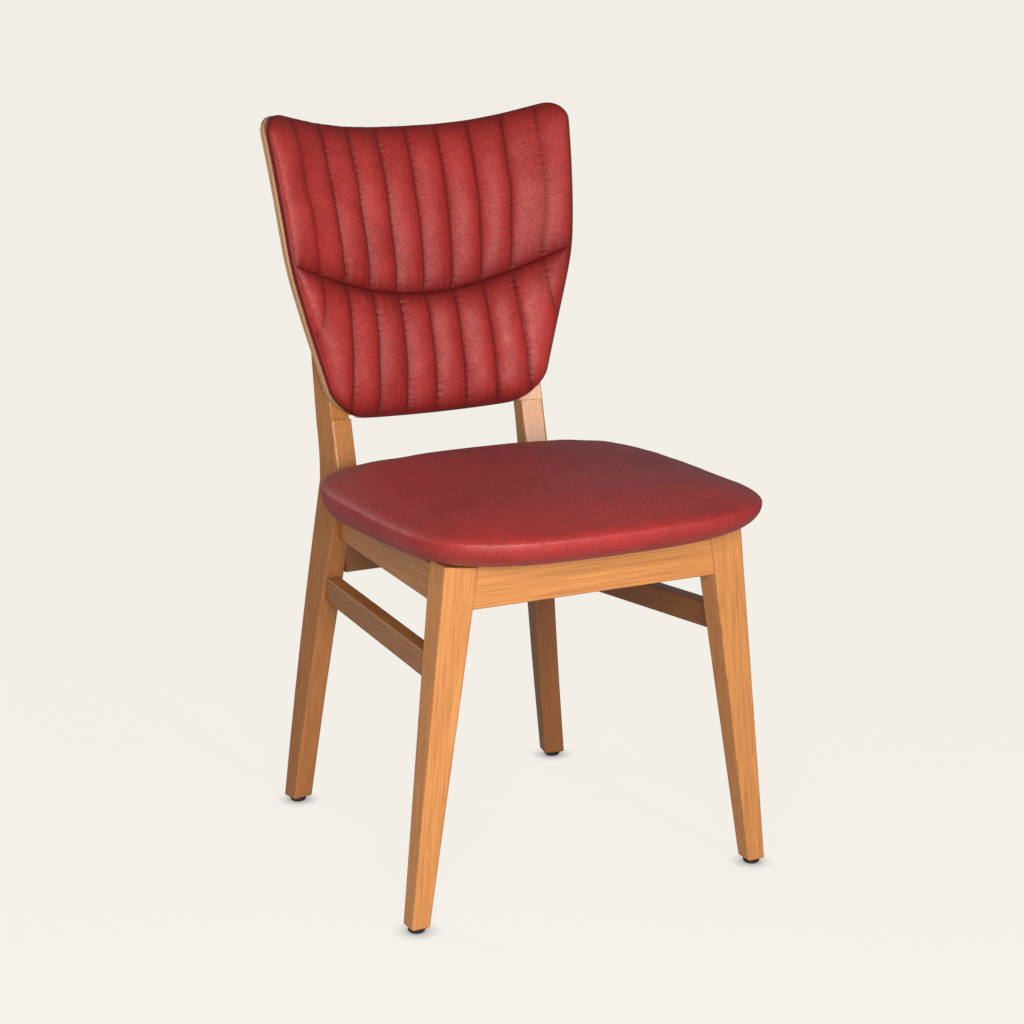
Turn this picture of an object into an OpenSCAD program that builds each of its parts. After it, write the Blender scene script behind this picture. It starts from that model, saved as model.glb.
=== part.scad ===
// Upholstered wooden restaurant chair, built the way a joiner and an upholsterer build it.
// Millimetres, +Z up. The chair faces -Y. The origin is on the floor, under the middle of its box.

/* [Seat frame] */
// Height of the seat frame's top edge, at the front face of the front legs
frame_top = 424; // [405:1:445]
// Fall of the seat frame towards the back, in degrees
seat_fall = 3.2; // [1:0.1:5]
// From the front face of the front legs to the front corners of the rear legs
frame_depth = 391.5; // [360:0.5:420]
// Thickness of the front, side and back rails
rail_t = 22; // [18:0.5:25]
// Height of the front rail
front_rail_h = 50; // [42:1:60]
// Height of the two side rails
side_rail_h = 46; // [38:1:56]
// Height of the deep back rail
back_rail_h = 90; // [60:1:100]
// How far the rails sit back from the faces of the legs
rail_setback = 2.5; // [0.5:0.5:4]
// Thickness of every tenon
tenon_t = 9; // [7:0.5:11]
// Length of every tenon
tenon_len = 16; // [12:0.5:18]

/* [Front legs] */
// Half the width over the front legs at the seat
front_leg_half = 191; // [180:1:205]
// Half the width over the front feet
front_foot_half = 235.5; // [205:0.5:245]
// Width of a front leg at the seat
front_leg_w = 42; // [38:0.5:48]
// Depth of a front leg at the seat
front_leg_d = 41.5; // [38:0.5:46]
// Width of a front foot
front_foot_w = 23; // [21:0.5:28]
// Depth of a front foot
front_foot_d = 25; // [21:0.5:30]

/* [Rear legs and uprights] */
// Half the width over the front corners of the rear legs at the seat
rear_leg_half = 147.5; // [135:0.5:155]
// Half the width over the front corners of the rear feet
rear_foot_half = 197.5; // [170:0.5:210]
// Width of a rear leg at the seat and above
rear_leg_w = 29.5; // [27:0.5:33]
// Depth of a rear leg at the knee
rear_leg_d = 46; // [40:0.5:50]
// Width of a rear foot
rear_foot_w = 27.5; // [23:0.5:30]
// Depth of a rear foot
rear_foot_d = 24.5; // [22:0.5:30]
// How far the front corners of the rear feet stand behind the knee
rear_kick = 49; // [30:1:70]
// Bow of a rear leg behind the straight line from the knee to the foot
rear_bow = 5; // [0:0.5:10]
// Turn of the rear legs about the vertical, in degrees
rear_turn = 10; // [6:0.5:12]
// Height of the knee, where the uprights start to lean
knee_z = 428; // [425:1:440]
// Lean of the uprights between the knee and the shell, in degrees
upright_lean = 15; // [13:0.1:17]
// Depth of an upright at the bottom of the shell
upright_d = 38; // [34:0.5:40]
// Depth of an upright at its top end
upright_tip_d = 26; // [22:0.5:30]
// Height of the top end of the uprights
upright_top = 706; // [690:1:712]

/* [Side stretchers] */
// Height of the top of a stretcher where it meets the front leg
stretcher_front_z = 322; // [280:1:330]
// Height of the top of a stretcher where it meets the rear leg
stretcher_rear_z = 305.5; // [270:0.5:312]
// Height of a stretcher
stretcher_h = 31; // [24:1:36]
// Thickness of a stretcher
stretcher_t = 19; // [16:0.5:21]

/* [Back shell] */
// Thickness of the moulded plywood
shell_t = 8; // [6.5:0.5:10]
// Radius of the shell's curve in plan
shell_r = 365; // [330:1:420]
// Lean of the shell, in degrees
shell_lean = 13; // [12:0.1:14]
// Height of the middle of the shell's bottom edge
shell_bottom_z = 498; // [492:1:506]
// Length of the shell along its middle
shell_len = 364; // [340:1:385]
// Rise of the top corners over the middle of the top edge
corner_rise = 15; // [0:1:20]
// Rise of the bottom corners over the middle of the bottom edge
corner_lift = 10; // [0:1:16]
// Half width of the shell at its waist
waist_half = 196.5; // [188:0.5:204]
// Length along the middle from the bottom edge to the waist
waist_at = 190; // [175:1:200]
// Radius of the top corners
top_corner_r = 24; // [15:1:30]
// Radius of the bottom corners
bottom_corner_r = 32; // [20:1:40]
// Radius of the flare at the top of the shell
flare_r = 940; // [700:10:2000]
// Length along the middle from the bottom edge to the start of the flare
flare_at = 228; // [222:1:280]

/* [Back pad] */
// Inset of the pad from the edge of the shell
pad_inset = 1; // [0.5:0.5:4]
// Thickness of the pad at its folded rim
pad_rim = 7; // [5:0.5:9]
// Thickness of the pad where the level seam pinches it
pad_pinch = 11; // [9.5:0.5:14]
// Extra thickness of the upper panel
upper_bulge = 13.5; // [9:0.5:18]
// Extra thickness of the lower panel
lower_bulge = 17; // [11:0.5:22]
// Spacing of the sewn channels at the level seam
channel_w = 40; // [37:0.5:41]
// Depth of the channels' seams
channel_depth = 6; // [3:0.5:8]
// Length along the middle from the bottom edge to the level seam
seam_at = 151; // [142:1:158]
// Rise of the level seam at its ends
seam_rise = 42; // [20:1:46]

/* [Seat cushion] */
// Overhang of the cushion beside the front legs
seat_side_overhang = 35; // [23:1:44]
// Overhang of the cushion in front of the front legs, at its corners
seat_overhang = 59.5; // [44:0.5:64]
// Bow of the cushion's front edge
seat_bow = 23; // [10:1:32]
// Gap between the cushion's rear edge and the rear legs
seat_back_gap = 22; // [14:0.5:23.5]
// Height of the widest line of the cushion above the frame, at the front
seat_widest_h = 32.5; // [28:0.5:38]
// Further rise of the widest line at the back
seat_rear_rise = 15; // [0:1:20]
// Height of the tight roll along the cushion's edge
seat_roll_h = 9; // [6:0.5:14]
// Height of the crown above the roll
seat_crown_h = 12; // [5:0.5:20]
// Thickness of the plywood seat board
board_t = 12; // [9:0.5:14]
// Thickness of the leather with its backing
leather_t = 1.6; // [1.2:0.1:2.4]

/* [Fittings] */
// Height of a foot glide
glide_h = 6; // [4:0.5:9]
// Diameter of a foot glide
glide_dia = 20; // [16:0.5:21]
// Diameter of a glide's nail
nail_dia = 2.5; // [2:0.1:3.2]
// Diameter of the bolts that hold the shell and the seat
bolt_dia = 6; // [5:0.5:7]
// Diameter of a corner block's screws
screw_dia = 4; // [3:0.5:5]
// Length of a corner block's wings
block_wing = 60; // [57:1:64]
// Height of a corner block
block_h = 30; // [24:1:34]

/* [Hidden] */

wood = "#b5763f";
dark_wood = "#8f5c34";
ply = "#c79a63";
leather = "#a13233";
black = "#1d1c1c";
steel = "#9a9a9c";
foam = "#e8dfae";

sides = [-1, 1];
overrun = 30;
joint_fit = 0.15;
soft_fit = 0.3;
ease_r = 2.5;
foot_bevel = 1.5;
round_n = 48;

function mix(a, b, t) = a + (b - a) * t;
function side_sign(v) = v < 0 ? -1 : 1;

// A right hand piece as it is, or mirrored to the left
module on_side(side) {
    mirror([side < 0 ? 1 : 0, 0, 0]) children();
}

// The seat frame's plane, which falls towards the back from the front face of the front legs
function plane_z(y) = frame_top - y * tan(seat_fall);

module on_seat() {
    translate([0, 0, frame_top]) rotate([-seat_fall, 0, 0]) children();
}

// Round cornered rectangle about the origin, as a list of points, anticlockwise
corner_steps = 3;
function round_rect(w, d, r) = [
    for (q = [0:3]) for (k = [0:corner_steps])
        let (a = 90 * (q + k / corner_steps),
             sx = q == 0 || q == 3 ? 1 : -1,
             sy = q < 2 ? 1 : -1)
        [sx * (w / 2 - r) + r * cos(a), sy * (d / 2 - r) + r * sin(a)]];

// The same, turned about the vertical and moved to a place in space
function ring(w, d, r, turn, x, y, z) = [
    for (p = round_rect(w, d, r))
        [x + p.x * cos(turn) - p.y * sin(turn), y + p.x * sin(turn) + p.y * cos(turn), z]];

// Solid through a stack of rings that have the same number of points, from the lowest to the highest
module loft(rings) {
    n = len(rings[0]);
    m = len(rings);
    polyhedron(
        points = [for (r = rings) for (p = r) p],
        faces = concat(
            [[for (i = [0:n - 1]) i]],
            [[for (i = [n - 1:-1:0]) (m - 1) * n + i]],
            [for (j = [0:m - 2]) for (i = [0:n - 1])
                [j * n + i, (j + 1) * n + i, (j + 1) * n + (i + 1) % n, j * n + (i + 1) % n]]));
}

// Closed skin from a first pole through rings of points to a last pole
module balloon(first, rings, last) {
    n = len(rings[0]);
    m = len(rings);
    polyhedron(
        points = concat([for (r = rings) for (p = r) p], [first, last]),
        faces = concat(
            [for (i = [0:n - 1]) [n * m, (i + 1) % n, i]],
            [for (j = [0:m - 2]) for (i = [0:n - 1]) for (half = [0, 1])
                let (a = j * n + i, b = j * n + (i + 1) % n)
                half == 0 ? [a, b, b + n] : [a, b + n, a + n]],
            [for (i = [0:n - 1]) [n * m + 1, (m - 1) * n + i, (m - 1) * n + (i + 1) % n]]));
}

// Solid between two grids of the same shape, the first in front and the second behind,
// with rows from the bottom up and columns from left to right
module slab(front, back) {
    nr = len(front);
    nc = len(front[0]);
    s = nr * nc;
    rim = concat(
        [for (i = [0:nc - 1]) i],
        [for (j = [1:nr - 1]) j * nc + nc - 1],
        [for (i = [nc - 2:-1:0]) (nr - 1) * nc + i],
        [for (j = [nr - 2:-1:1]) j * nc]);
    k = len(rim);
    polyhedron(
        points = concat([for (r = front) for (p = r) p], [for (r = back) for (p = r) p]),
        faces = concat(
            [for (j = [0:nr - 2]) for (i = [0:nc - 2]) for (half = [0, 1])
                let (a = j * nc + i, c = a + nc + 1)
                half == 0 ? [a, a + nc, c] : [a, c, a + 1]],
            [for (j = [0:nr - 2]) for (i = [0:nc - 2]) for (half = [0, 1])
                let (a = s + j * nc + i, c = a + nc + 1)
                half == 0 ? [a, c, a + nc] : [a, a + 1, c]],
            [for (i = [0:k - 1]) for (half = [0, 1])
                let (a = rim[i], b = rim[(i + 1) % k])
                half == 0 ? [a, b, b + s] : [a, b + s, a + s]]));
}

// Front legs: each tapers down to its foot, and its head is cut square to its slope
function front_share(z) = (z - glide_h) / (frame_top - glide_h);
function front_leg_x(z) = mix(front_foot_half - front_foot_w / 2, front_leg_half - front_leg_w / 2,
    front_share(z));
function front_leg_width(z) = mix(front_foot_w, front_leg_w, front_share(z));
function front_leg_depth(z) = mix(front_foot_d, front_leg_d, front_share(z));
function front_outer_x(z) = front_leg_x(z) + front_leg_width(z) / 2;
function front_inner_x(z) = front_leg_x(z) - front_leg_width(z) / 2;
function front_ring(z, less) = ring(front_leg_width(z) - 2 * less, front_leg_depth(z) - 2 * less,
    ease_r, 0, front_leg_x(z), front_leg_depth(z) / 2, z);
front_tilt = atan((front_leg_x(glide_h) - front_leg_x(frame_top)) / (frame_top - glide_h));

module front_leg_blank() {
    difference() {
        loft([front_ring(glide_h, foot_bevel), front_ring(glide_h + foot_bevel, 0),
              front_ring(frame_top + overrun, 0)]);
        translate([front_leg_x(frame_top), 0, frame_top])
            rotate([0, -front_tilt, 0])
                translate([-front_leg_w, -front_leg_d, 0])
                    cube([2 * front_leg_w, 3 * front_leg_d, 2 * overrun]);
    }
}

module front_leg(side) {
    color(wood) in_place() on_side(side) difference() {
        front_leg_blank();
        front_rail_tongue(joint_fit);
        side_rail_tongue(joint_fit);
        stretcher_tongue(joint_fit);
        at_front_foot() nail_shank(joint_fit);
    }
}

// Rear legs: one piece from the foot through the knee to the top of the upright.
// Below the knee the leg rakes back with a slight bow, above it the leg leans to the shell
// and then follows the shell's back.
function shell_back_n(x) = sqrt(pow(shell_r + shell_t, 2) - x * x) - shell_r;
shell_foot_y = frame_depth + (shell_bottom_z - knee_z) * tan(upright_lean)
    - shell_back_n(rear_leg_half) / cos(shell_lean);
// The middle of the chair's box, from the cushion's front edge to the shell's top edge
front_most = -(seat_overhang + seat_bow) * cos(seat_fall) + seat_widest_h * sin(seat_fall);
rear_most = shell_foot_y + shell_len * sin(shell_lean)
    + (flare(shell_len) + shell_t) * cos(shell_lean);
mid_y = (front_most + rear_most) / 2;

module in_place() {
    translate([0, -mid_y, 0]) children();
}

function rear_share(z) = (knee_z - z) / (knee_z - glide_h);
function upright_share(z) = (z - knee_z) / (shell_bottom_z - knee_z);
function tip_share(z) = (z - shell_bottom_z) / (upright_top - shell_bottom_z);
function rear_front_y(z) =
    z < knee_z ? frame_depth + rear_kick * rear_share(z) + rear_bow * sin(180 * rear_share(z)) :
    z < shell_bottom_z ? frame_depth + (z - knee_z) * tan(upright_lean) :
    frame_depth + (shell_bottom_z - knee_z) * tan(upright_lean) + (z - shell_bottom_z) * tan(shell_lean);
function rear_corner_x(z) =
    z < knee_z ? mix(rear_leg_half, rear_foot_half, rear_share(z)) : rear_leg_half;
function rear_width(z) = z < knee_z ? mix(rear_leg_w, rear_foot_w, rear_share(z)) : rear_leg_w;
function rear_depth(z) =
    z < knee_z ? mix(rear_leg_d, rear_foot_d, rear_share(z)) :
    z < shell_bottom_z ? mix(upright_d, rear_leg_d, pow(1 - upright_share(z), 2)) :
    mix(upright_d, upright_tip_d, tip_share(z));
function rear_x(z) = rear_corner_x(z) - rear_width(z) / 2 * cos(rear_turn)
    + rear_depth(z) / 2 * sin(rear_turn);
function rear_y(z) = rear_front_y(z) + rear_width(z) / 2 * sin(rear_turn)
    + rear_depth(z) / 2 * cos(rear_turn);
function rear_ring(z, less) = ring(rear_width(z) - 2 * less, rear_depth(z) - 2 * less, ease_r,
    -rear_turn, rear_x(z), rear_y(z), z);
leg_steps = 6;
tip_bevel = 5;

module rear_leg_blank() {
    loft(concat(
        [rear_ring(glide_h, foot_bevel)],
        [for (k = [0:leg_steps - 1]) rear_ring(mix(glide_h + foot_bevel, knee_z, k / leg_steps), 0)],
        [for (k = [0:leg_steps]) rear_ring(mix(knee_z, shell_bottom_z, k / leg_steps), 0)],
        [rear_ring(upright_top - tip_bevel, 0), rear_ring(upright_top, tip_bevel)]));
}

module rear_leg(side) {
    color(wood) in_place() on_side(side) difference() {
        rear_leg_blank();
        side_rail_tongue(joint_fit);
        back_rail_tongue(joint_fit);
        stretcher_tongue(joint_fit);
        shell_cope();
        for (at = shell_bolt_at) at_shell_bolt(at) shell_bolt_bore();
        at_rear_foot() nail_shank(joint_fit);
    }
}

// Rails and stretchers are straight bars whose tongues run on into the legs as tenons.
// A bar lies along +Y from the origin, with its top at z = 0. The rails stand upright, and their
// tops stop seat_play below the seat frame's plane.
tongue_inset = 6;
seat_play = 0.15;

module bar(w, h, length) {
    translate([0, length, -h / 2]) rotate([90, 0, 0]) linear_extrude(length)
        polygon(round_rect(w, h, ease_r));
}

module tongue(w, h, length, grow) {
    translate([-tenon_t / 2 - grow, -grow, -h + tongue_inset - grow])
        cube([tenon_t + 2 * grow, length + 2 * grow, h - 2 * tongue_inset + 2 * grow]);
}

// Front rail, from leg to leg across the front
front_rail_y = rail_setback + rail_t / 2;
front_rail_reach = front_leg_half - front_leg_w / 2;
front_rail_top = plane_z(front_rail_y + rail_t / 2) - seat_play;

module front_rail_line(reach) {
    translate([-reach, front_rail_y, front_rail_top]) rotate([0, 0, -90]) children();
}

module front_rail_tongue(grow) {
    reach = front_inner_x(frame_top) + tenon_len;
    front_rail_line(reach) tongue(rail_t, front_rail_h, 2 * reach, grow);
}

module front_rail() {
    color(wood) in_place() {
        difference() {
            front_rail_line(front_rail_reach) bar(rail_t, front_rail_h, 2 * front_rail_reach);
            for (side = sides) on_side(side) front_leg_blank();
            front_screw_holes();
        }
        difference() {
            front_rail_tongue(0);
            front_screw_holes();
        }
    }
}

// Side rails, from the back of the front leg to the front of the rear leg
side_rail_x0 = front_leg_half - rail_setback - rail_t / 2;
side_rail_x1 = rear_leg_half - rail_setback - rail_t / 2 * cos(rear_turn);
side_rail_run = frame_depth - front_leg_d;
side_rail_turn = atan((side_rail_x0 - side_rail_x1) / side_rail_run);
side_rail_fall = atan(tan(seat_fall) * cos(side_rail_turn));
side_rail_len = side_rail_run / cos(side_rail_turn) / cos(side_rail_fall);

// The side rail's line starts at the back of the front leg, moved along the line by start
module side_rail_line(start) {
    translate([side_rail_x0, front_leg_d, plane_z(front_leg_d) - seat_play])
        rotate([-side_rail_fall, 0, side_rail_turn]) translate([0, start, 0]) children();
}

module side_rail_tongue(grow) {
    side_rail_line(-tenon_len) tongue(rail_t, side_rail_h, side_rail_len + 2 * tenon_len, grow);
}

module side_rail(side) {
    color(wood) in_place() on_side(side) {
        difference() {
            side_rail_line(-tenon_len) bar(rail_t, side_rail_h, side_rail_len + 2 * tenon_len);
            front_leg_blank();
            rear_leg_blank();
            side_screw_holes();
        }
        difference() {
            side_rail_tongue(0);
            side_screw_holes();
        }
    }
}

// Back rail, between the rear legs, as deep as the joint with the back needs
back_rail_y = frame_depth + rear_leg_w * sin(rear_turn) + rear_leg_d / 2;
back_rail_reach = rear_leg_half - rear_leg_w / 2;
back_rail_top = plane_z(back_rail_y + rail_t / 2) - seat_play;

module back_rail_line(reach) {
    translate([-reach, back_rail_y, back_rail_top]) rotate([0, 0, -90]) children();
}

module back_rail_tongue(grow) {
    reach = rear_leg_half - rear_leg_w + tenon_len;
    back_rail_line(reach) tongue(rail_t, back_rail_h, 2 * reach, grow);
}

module back_rail() {
    color(wood) in_place() {
        difference() {
            back_rail_line(back_rail_reach) bar(rail_t, back_rail_h, 2 * back_rail_reach);
            for (side = sides) on_side(side) rear_leg_blank();
            back_screw_holes();
        }
        difference() {
            back_rail_tongue(0);
            back_screw_holes();
        }
    }
}

// Side stretchers, lower down between the same legs, outer faces level with the front legs.
// Whatever would stand proud of a leg's outer face is cut away.
stretcher_x0 = front_outer_x(stretcher_front_z) - stretcher_t / 2;
stretcher_y0 = front_leg_depth(stretcher_front_z);
stretcher_x1 = rear_corner_x(stretcher_rear_z) - rail_setback - stretcher_t / 2;
stretcher_y1 = rear_front_y(stretcher_rear_z);
stretcher_run = norm([stretcher_x0 - stretcher_x1, stretcher_y1 - stretcher_y0]);
stretcher_turn = atan((stretcher_x0 - stretcher_x1) / (stretcher_y1 - stretcher_y0));
stretcher_fall = atan((stretcher_front_z - stretcher_rear_z) / stretcher_run);
stretcher_len = stretcher_run / cos(stretcher_fall);

module stretcher_line(start) {
    translate([stretcher_x0, stretcher_y0, stretcher_front_z]) rotate([-stretcher_fall, 0, stretcher_turn])
        translate([0, start, 0]) children();
}

module stretcher_tongue(grow) {
    stretcher_line(-tenon_len) tongue(stretcher_t, stretcher_h, stretcher_len + 2 * tenon_len, grow);
}

module stretcher(side) {
    color(dark_wood) in_place() on_side(side) {
        difference() {
            stretcher_line(-tenon_len) bar(stretcher_t, stretcher_h, stretcher_len + 2 * tenon_len);
            front_leg_blank();
            translate([stretcher_t, 0, 0]) front_leg_blank();
            rear_leg_blank();
        }
        stretcher_tongue(0);
    }
}

// Corner blocks: each lies against two rails and clears the leg in its corner.
// side_face_x is the inner face of the side rail.
function side_face_x(y) = side_rail_x0 - rail_t / 2 / cos(side_rail_turn)
    - (y - front_leg_d) * tan(side_rail_turn);
leg_clear = 2.5;
block_drop = 2;
front_face_y = rail_setback + rail_t;
back_face_y = back_rail_y - rail_t / 2;
front_block_x = front_leg_half - front_leg_w - leg_clear;
front_block_y = front_leg_d + leg_clear;
rear_block_x = rear_leg_half - rear_leg_w - leg_clear;
rear_block_y = frame_depth - leg_clear;
front_block_top = plane_z(front_block_y + block_wing) - block_drop;
rear_block_top = plane_z(back_face_y) - block_drop;

module block_front_blank() {
    translate([0, 0, front_block_top - block_h]) linear_extrude(block_h) polygon([
        [front_block_x, front_face_y],
        [front_block_x, front_block_y],
        [side_face_x(front_block_y), front_block_y],
        [side_face_x(front_block_y + block_wing), front_block_y + block_wing],
        [side_face_x(front_block_y + block_wing) - block_wing / 3, front_block_y + block_wing],
        [front_block_x - block_wing, front_face_y + block_wing / 3],
        [front_block_x - block_wing, front_face_y]]);
}

module block_rear_blank() {
    translate([0, 0, rear_block_top - block_h]) linear_extrude(block_h) polygon([
        [rear_block_x, back_face_y],
        [rear_block_x - block_wing, back_face_y],
        [rear_block_x - block_wing, back_face_y - block_wing / 3],
        [side_face_x(rear_block_y - block_wing) - block_wing / 3, rear_block_y - block_wing],
        [side_face_x(rear_block_y - block_wing), rear_block_y - block_wing],
        [side_face_x(rear_block_y), rear_block_y],
        [rear_block_x, rear_block_y]]);
}

// Screws: one into the front or back rail and one into the side rail, level with the block's middle.
// A screw points along +Y from its head.
screw_seat = 12;
screw_len = 24;
screw_head_dia = 2 * screw_dia;
screw_head_h = screw_dia / 2;
front_screw_z = front_block_top - block_h / 2;
rear_screw_z = rear_block_top - block_h / 2;

module screw(grow, well) {
    rotate([-90, 0, 0]) {
        cylinder(h = screw_len + grow, d = screw_dia + 2 * grow, $fn = round_n);
        translate([0, 0, -well]) cylinder(h = screw_head_h + grow + well, d = screw_head_dia + 2 * grow,
            $fn = round_n);
    }
}

module at_front_screw() {
    translate([front_block_x - block_wing / 2, front_face_y + screw_seat, front_screw_z])
        rotate([0, 0, 180]) children();
}

module at_back_screw() {
    translate([rear_block_x - block_wing / 2, back_face_y - screw_seat, rear_screw_z]) children();
}

module at_side_screw(y, z) {
    translate([side_face_x(y), y, z]) rotate([0, 0, side_rail_turn - 90])
        translate([0, -screw_seat, 0]) children();
}

side_screw_front_y = front_block_y + block_wing / 2;
side_screw_rear_y = rear_block_y - block_wing / 2;

module front_screw_holes() {
    for (side = sides) on_side(side) at_front_screw() screw(joint_fit, 0);
}

module back_screw_holes() {
    for (side = sides) on_side(side) at_back_screw() screw(joint_fit, 0);
}

module side_screw_holes() {
    at_side_screw(side_screw_front_y, front_screw_z) screw(joint_fit, 0);
    at_side_screw(side_screw_rear_y, rear_screw_z) screw(joint_fit, 0);
}

module block_front(side) {
    color(dark_wood) in_place() on_side(side) difference() {
        block_front_blank();
        at_front_screw() screw(joint_fit, overrun);
        at_side_screw(side_screw_front_y, front_screw_z) screw(joint_fit, overrun);
        at_seat_bolt(0) seat_bolt_bore(0);
    }
}

module block_rear(side) {
    color(dark_wood) in_place() on_side(side) difference() {
        block_rear_blank();
        at_back_screw() screw(joint_fit, overrun);
        at_side_screw(side_screw_rear_y, rear_screw_z) screw(joint_fit, overrun);
        at_seat_bolt(1) seat_bolt_bore(1);
    }
}

module block_screws() {
    color(steel) in_place() for (side = sides) on_side(side) {
        at_front_screw() screw(0, 0);
        at_back_screw() screw(0, 0);
        at_side_screw(side_screw_front_y, front_screw_z) screw(0, 0);
        at_side_screw(side_screw_rear_y, rear_screw_z) screw(0, 0);
    }
}

// Seat: a plywood board under foam, in one leather cover that is drawn in and turned under.
// Rings are in the seat frame's plane: q scales the outline, h is the height above the frame at the
// front, which grows towards the back, and more is added to it everywhere.
seat_points = 56;
front_square = 4.6;
rear_square = 3.9;
widest_share = 0.47;
rear_tuck_share = 0.2;
seat_half = front_leg_half + seat_side_overhang;
seat_front_y = -seat_overhang;
seat_rear_y = frame_depth - seat_back_gap;
seat_widest_y = mix(seat_front_y, seat_rear_y, widest_share);
function squared(v, n) = side_sign(v) * pow(abs(v), 2 / n);
function thickening(y) = 1 + seat_rear_rise / seat_widest_h
    * (y - seat_front_y + seat_bow) / (seat_rear_y - seat_front_y + seat_bow);
function seat_ring(q, inset, h, more) = [
    for (k = [0:seat_points - 1])
        let (a = 360 * k / seat_points,
             n = sin(a) < 0 ? front_square : rear_square,
             ux = squared(cos(a), n),
             uy = squared(sin(a), n),
             reach = uy < 0 ? seat_widest_y - seat_front_y : seat_rear_y - seat_widest_y,
             tuck = uy < 0 ? inset : inset * rear_tuck_share,
             side_tuck = uy < 0 ? inset : inset * (1 - (1 - rear_tuck_share) * pow(uy, 4)),
             bow = uy < 0 ? seat_bow * q * (1 - ux * ux) * -uy : 0,
             y = seat_widest_y + (reach * q - tuck) * uy - bow)
        [(seat_half * q - side_tuck) * ux, y, h * thickening(y) + more]];

under_tuck = 53;
hem_w = 14;
board_tuck = under_tuck + 4;

// The profile's scales, insets, heights and additions, shrunk inwards by less, from the crown over
// the tight roll to the widest line, and from there to the underside
edge_power = 20;
function roll_share(a) = pow(cos(a), 2 / edge_power);
outer_angles = [74, 58, 42, 27, 12];
inner_angles = [22, 46, 70];
outer_shares = concat([0.35, 0.62], [for (a = outer_angles) roll_share(a)]);
inner_shares = concat([for (a = inner_angles) roll_share(a)], [0.5]);
foam_shares = [0.5, roll_share(inner_angles[2]), roll_share(inner_angles[0])];
function top_profile(shares, less) = [
    for (q = shares) let (roll = sqrt(1 - pow(q, edge_power)))
        [q * (1 - less / seat_half), 0,
         seat_widest_h + seat_roll_h * roll + seat_crown_h * (1 - q * q), -less * roll]];
function under_profile(angles, less) = [
    for (a = angles)
        [1 - less / seat_half, under_tuck * (1 - sin(a)), seat_widest_h * (1 - cos(a)), less * cos(a)]];
function profile_rings(profile) = [for (p = profile) seat_ring(p[0], p[1], p[2], p[3])];
function crown_point(less) = [0, seat_widest_y,
    (seat_widest_h + seat_roll_h + seat_crown_h) * thickening(seat_widest_y) - less];

module seat_cover() {
    outer = concat(
        top_profile(outer_shares, 0),
        under_profile([90, 70, 50, 30, 0], 0),
        [[1, under_tuck + hem_w, 0, 0]]);
    inner = concat(
        [[1, under_tuck + hem_w, 0, leather_t]],
        under_profile([0, 35, 65, 90], leather_t),
        top_profile(inner_shares, leather_t));
    color(leather) in_place() on_seat() balloon(
        crown_point(0), concat(profile_rings(outer), profile_rings(inner)), crown_point(leather_t));
}

module seat_foam() {
    board_top = leather_t + board_t;
    less = leather_t + soft_fit;
    roll = concat(
        top_profile(foam_shares, less),
        under_profile([90, 65, 35], less),
        [[1, board_tuck - soft_fit, 0, less + soft_fit],
         [1, board_tuck - soft_fit, 0, board_top]]);
    color(foam) in_place() on_seat() balloon(
        crown_point(less), profile_rings(roll), [0, seat_widest_y, board_top]);
}

module seat_board() {
    color(ply) in_place() difference() {
        on_seat() translate([0, 0, leather_t]) linear_extrude(board_t)
            polygon([for (p = seat_ring(1, board_tuck, 0, 0)) [p.x, p.y]]);
        for (side = sides) on_side(side) for (corner = [0, 1])
            at_seat_bolt(corner) tee_nut_socket(leather_t + board_t, overrun);
    }
}

dust_t = 1;

module seat_dust_cover() {
    color(black) in_place() difference() {
        on_seat() translate([0, 0, leather_t - dust_t]) linear_extrude(dust_t)
            polygon([for (p = seat_ring(1, under_tuck + hem_w + soft_fit, 0, 0)) [p.x, p.y]]);
        for (side = sides) on_side(side) for (corner = [0, 1])
            at_seat_bolt(corner) tee_nut_socket(leather_t + board_t, overrun);
    }
}

// Tee nuts: a barrel and a flat flange, let in flush. The flange's outer face is at z = top.
tee_barrel_dia = bolt_dia + 2;
tee_barrel_h = 8;
tee_flange_dia = 3 * bolt_dia;
tee_flange_t = 1.5;

module tee_nut_socket(top, depth) {
    translate([0, 0, top - tee_flange_t - joint_fit])
        cylinder(h = tee_flange_t + joint_fit + overrun, d = tee_flange_dia + 2 * joint_fit, $fn = round_n);
    translate([0, 0, top - depth]) cylinder(h = depth, d = tee_barrel_dia + 2 * joint_fit, $fn = round_n);
}

module tee_nut(top) {
    difference() {
        union() {
            translate([0, 0, top - tee_flange_t])
                cylinder(h = tee_flange_t, d = tee_flange_dia, $fn = round_n);
            translate([0, 0, top - tee_barrel_h])
                cylinder(h = tee_barrel_h, d = tee_barrel_dia, $fn = round_n);
        }
        translate([0, 0, top - tee_barrel_h - overrun])
            cylinder(h = tee_barrel_h + 2 * overrun, d = bolt_dia + 2 * joint_fit, $fn = round_n);
    }
}

// Bolts: a low head and a shank along +Z, with the head's underside at z = 0
bolt_head_dia = 2 * bolt_dia;
bolt_head_h = bolt_dia / 2;

module bolt(length) {
    translate([0, 0, -bolt_head_h]) cylinder(h = bolt_head_h, d = bolt_head_dia, $fn = round_n);
    cylinder(h = length, d = bolt_dia, $fn = round_n);
}

// The seat's bolts rise through the corner blocks. Corner 0 is at the front and corner 1 at the rear.
bolt_place_share = 0.85;
spot_face = 1.5;
function seat_bolt_y(corner) = corner == 0
    ? front_block_y + bolt_place_share * block_wing
    : rear_block_y - bolt_place_share * block_wing;
function seat_bolt_x(corner) = side_face_x(seat_bolt_y(corner)) - block_wing / 4;
function seat_bolt_seat(corner) = spot_face + cos(seat_fall)
    * ((corner == 0 ? front_block_top : rear_block_top) - block_h - plane_z(seat_bolt_y(corner)));

module at_seat_bolt(corner) {
    on_seat() translate([seat_bolt_x(corner), seat_bolt_y(corner) / cos(seat_fall), 0]) children();
}

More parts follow.
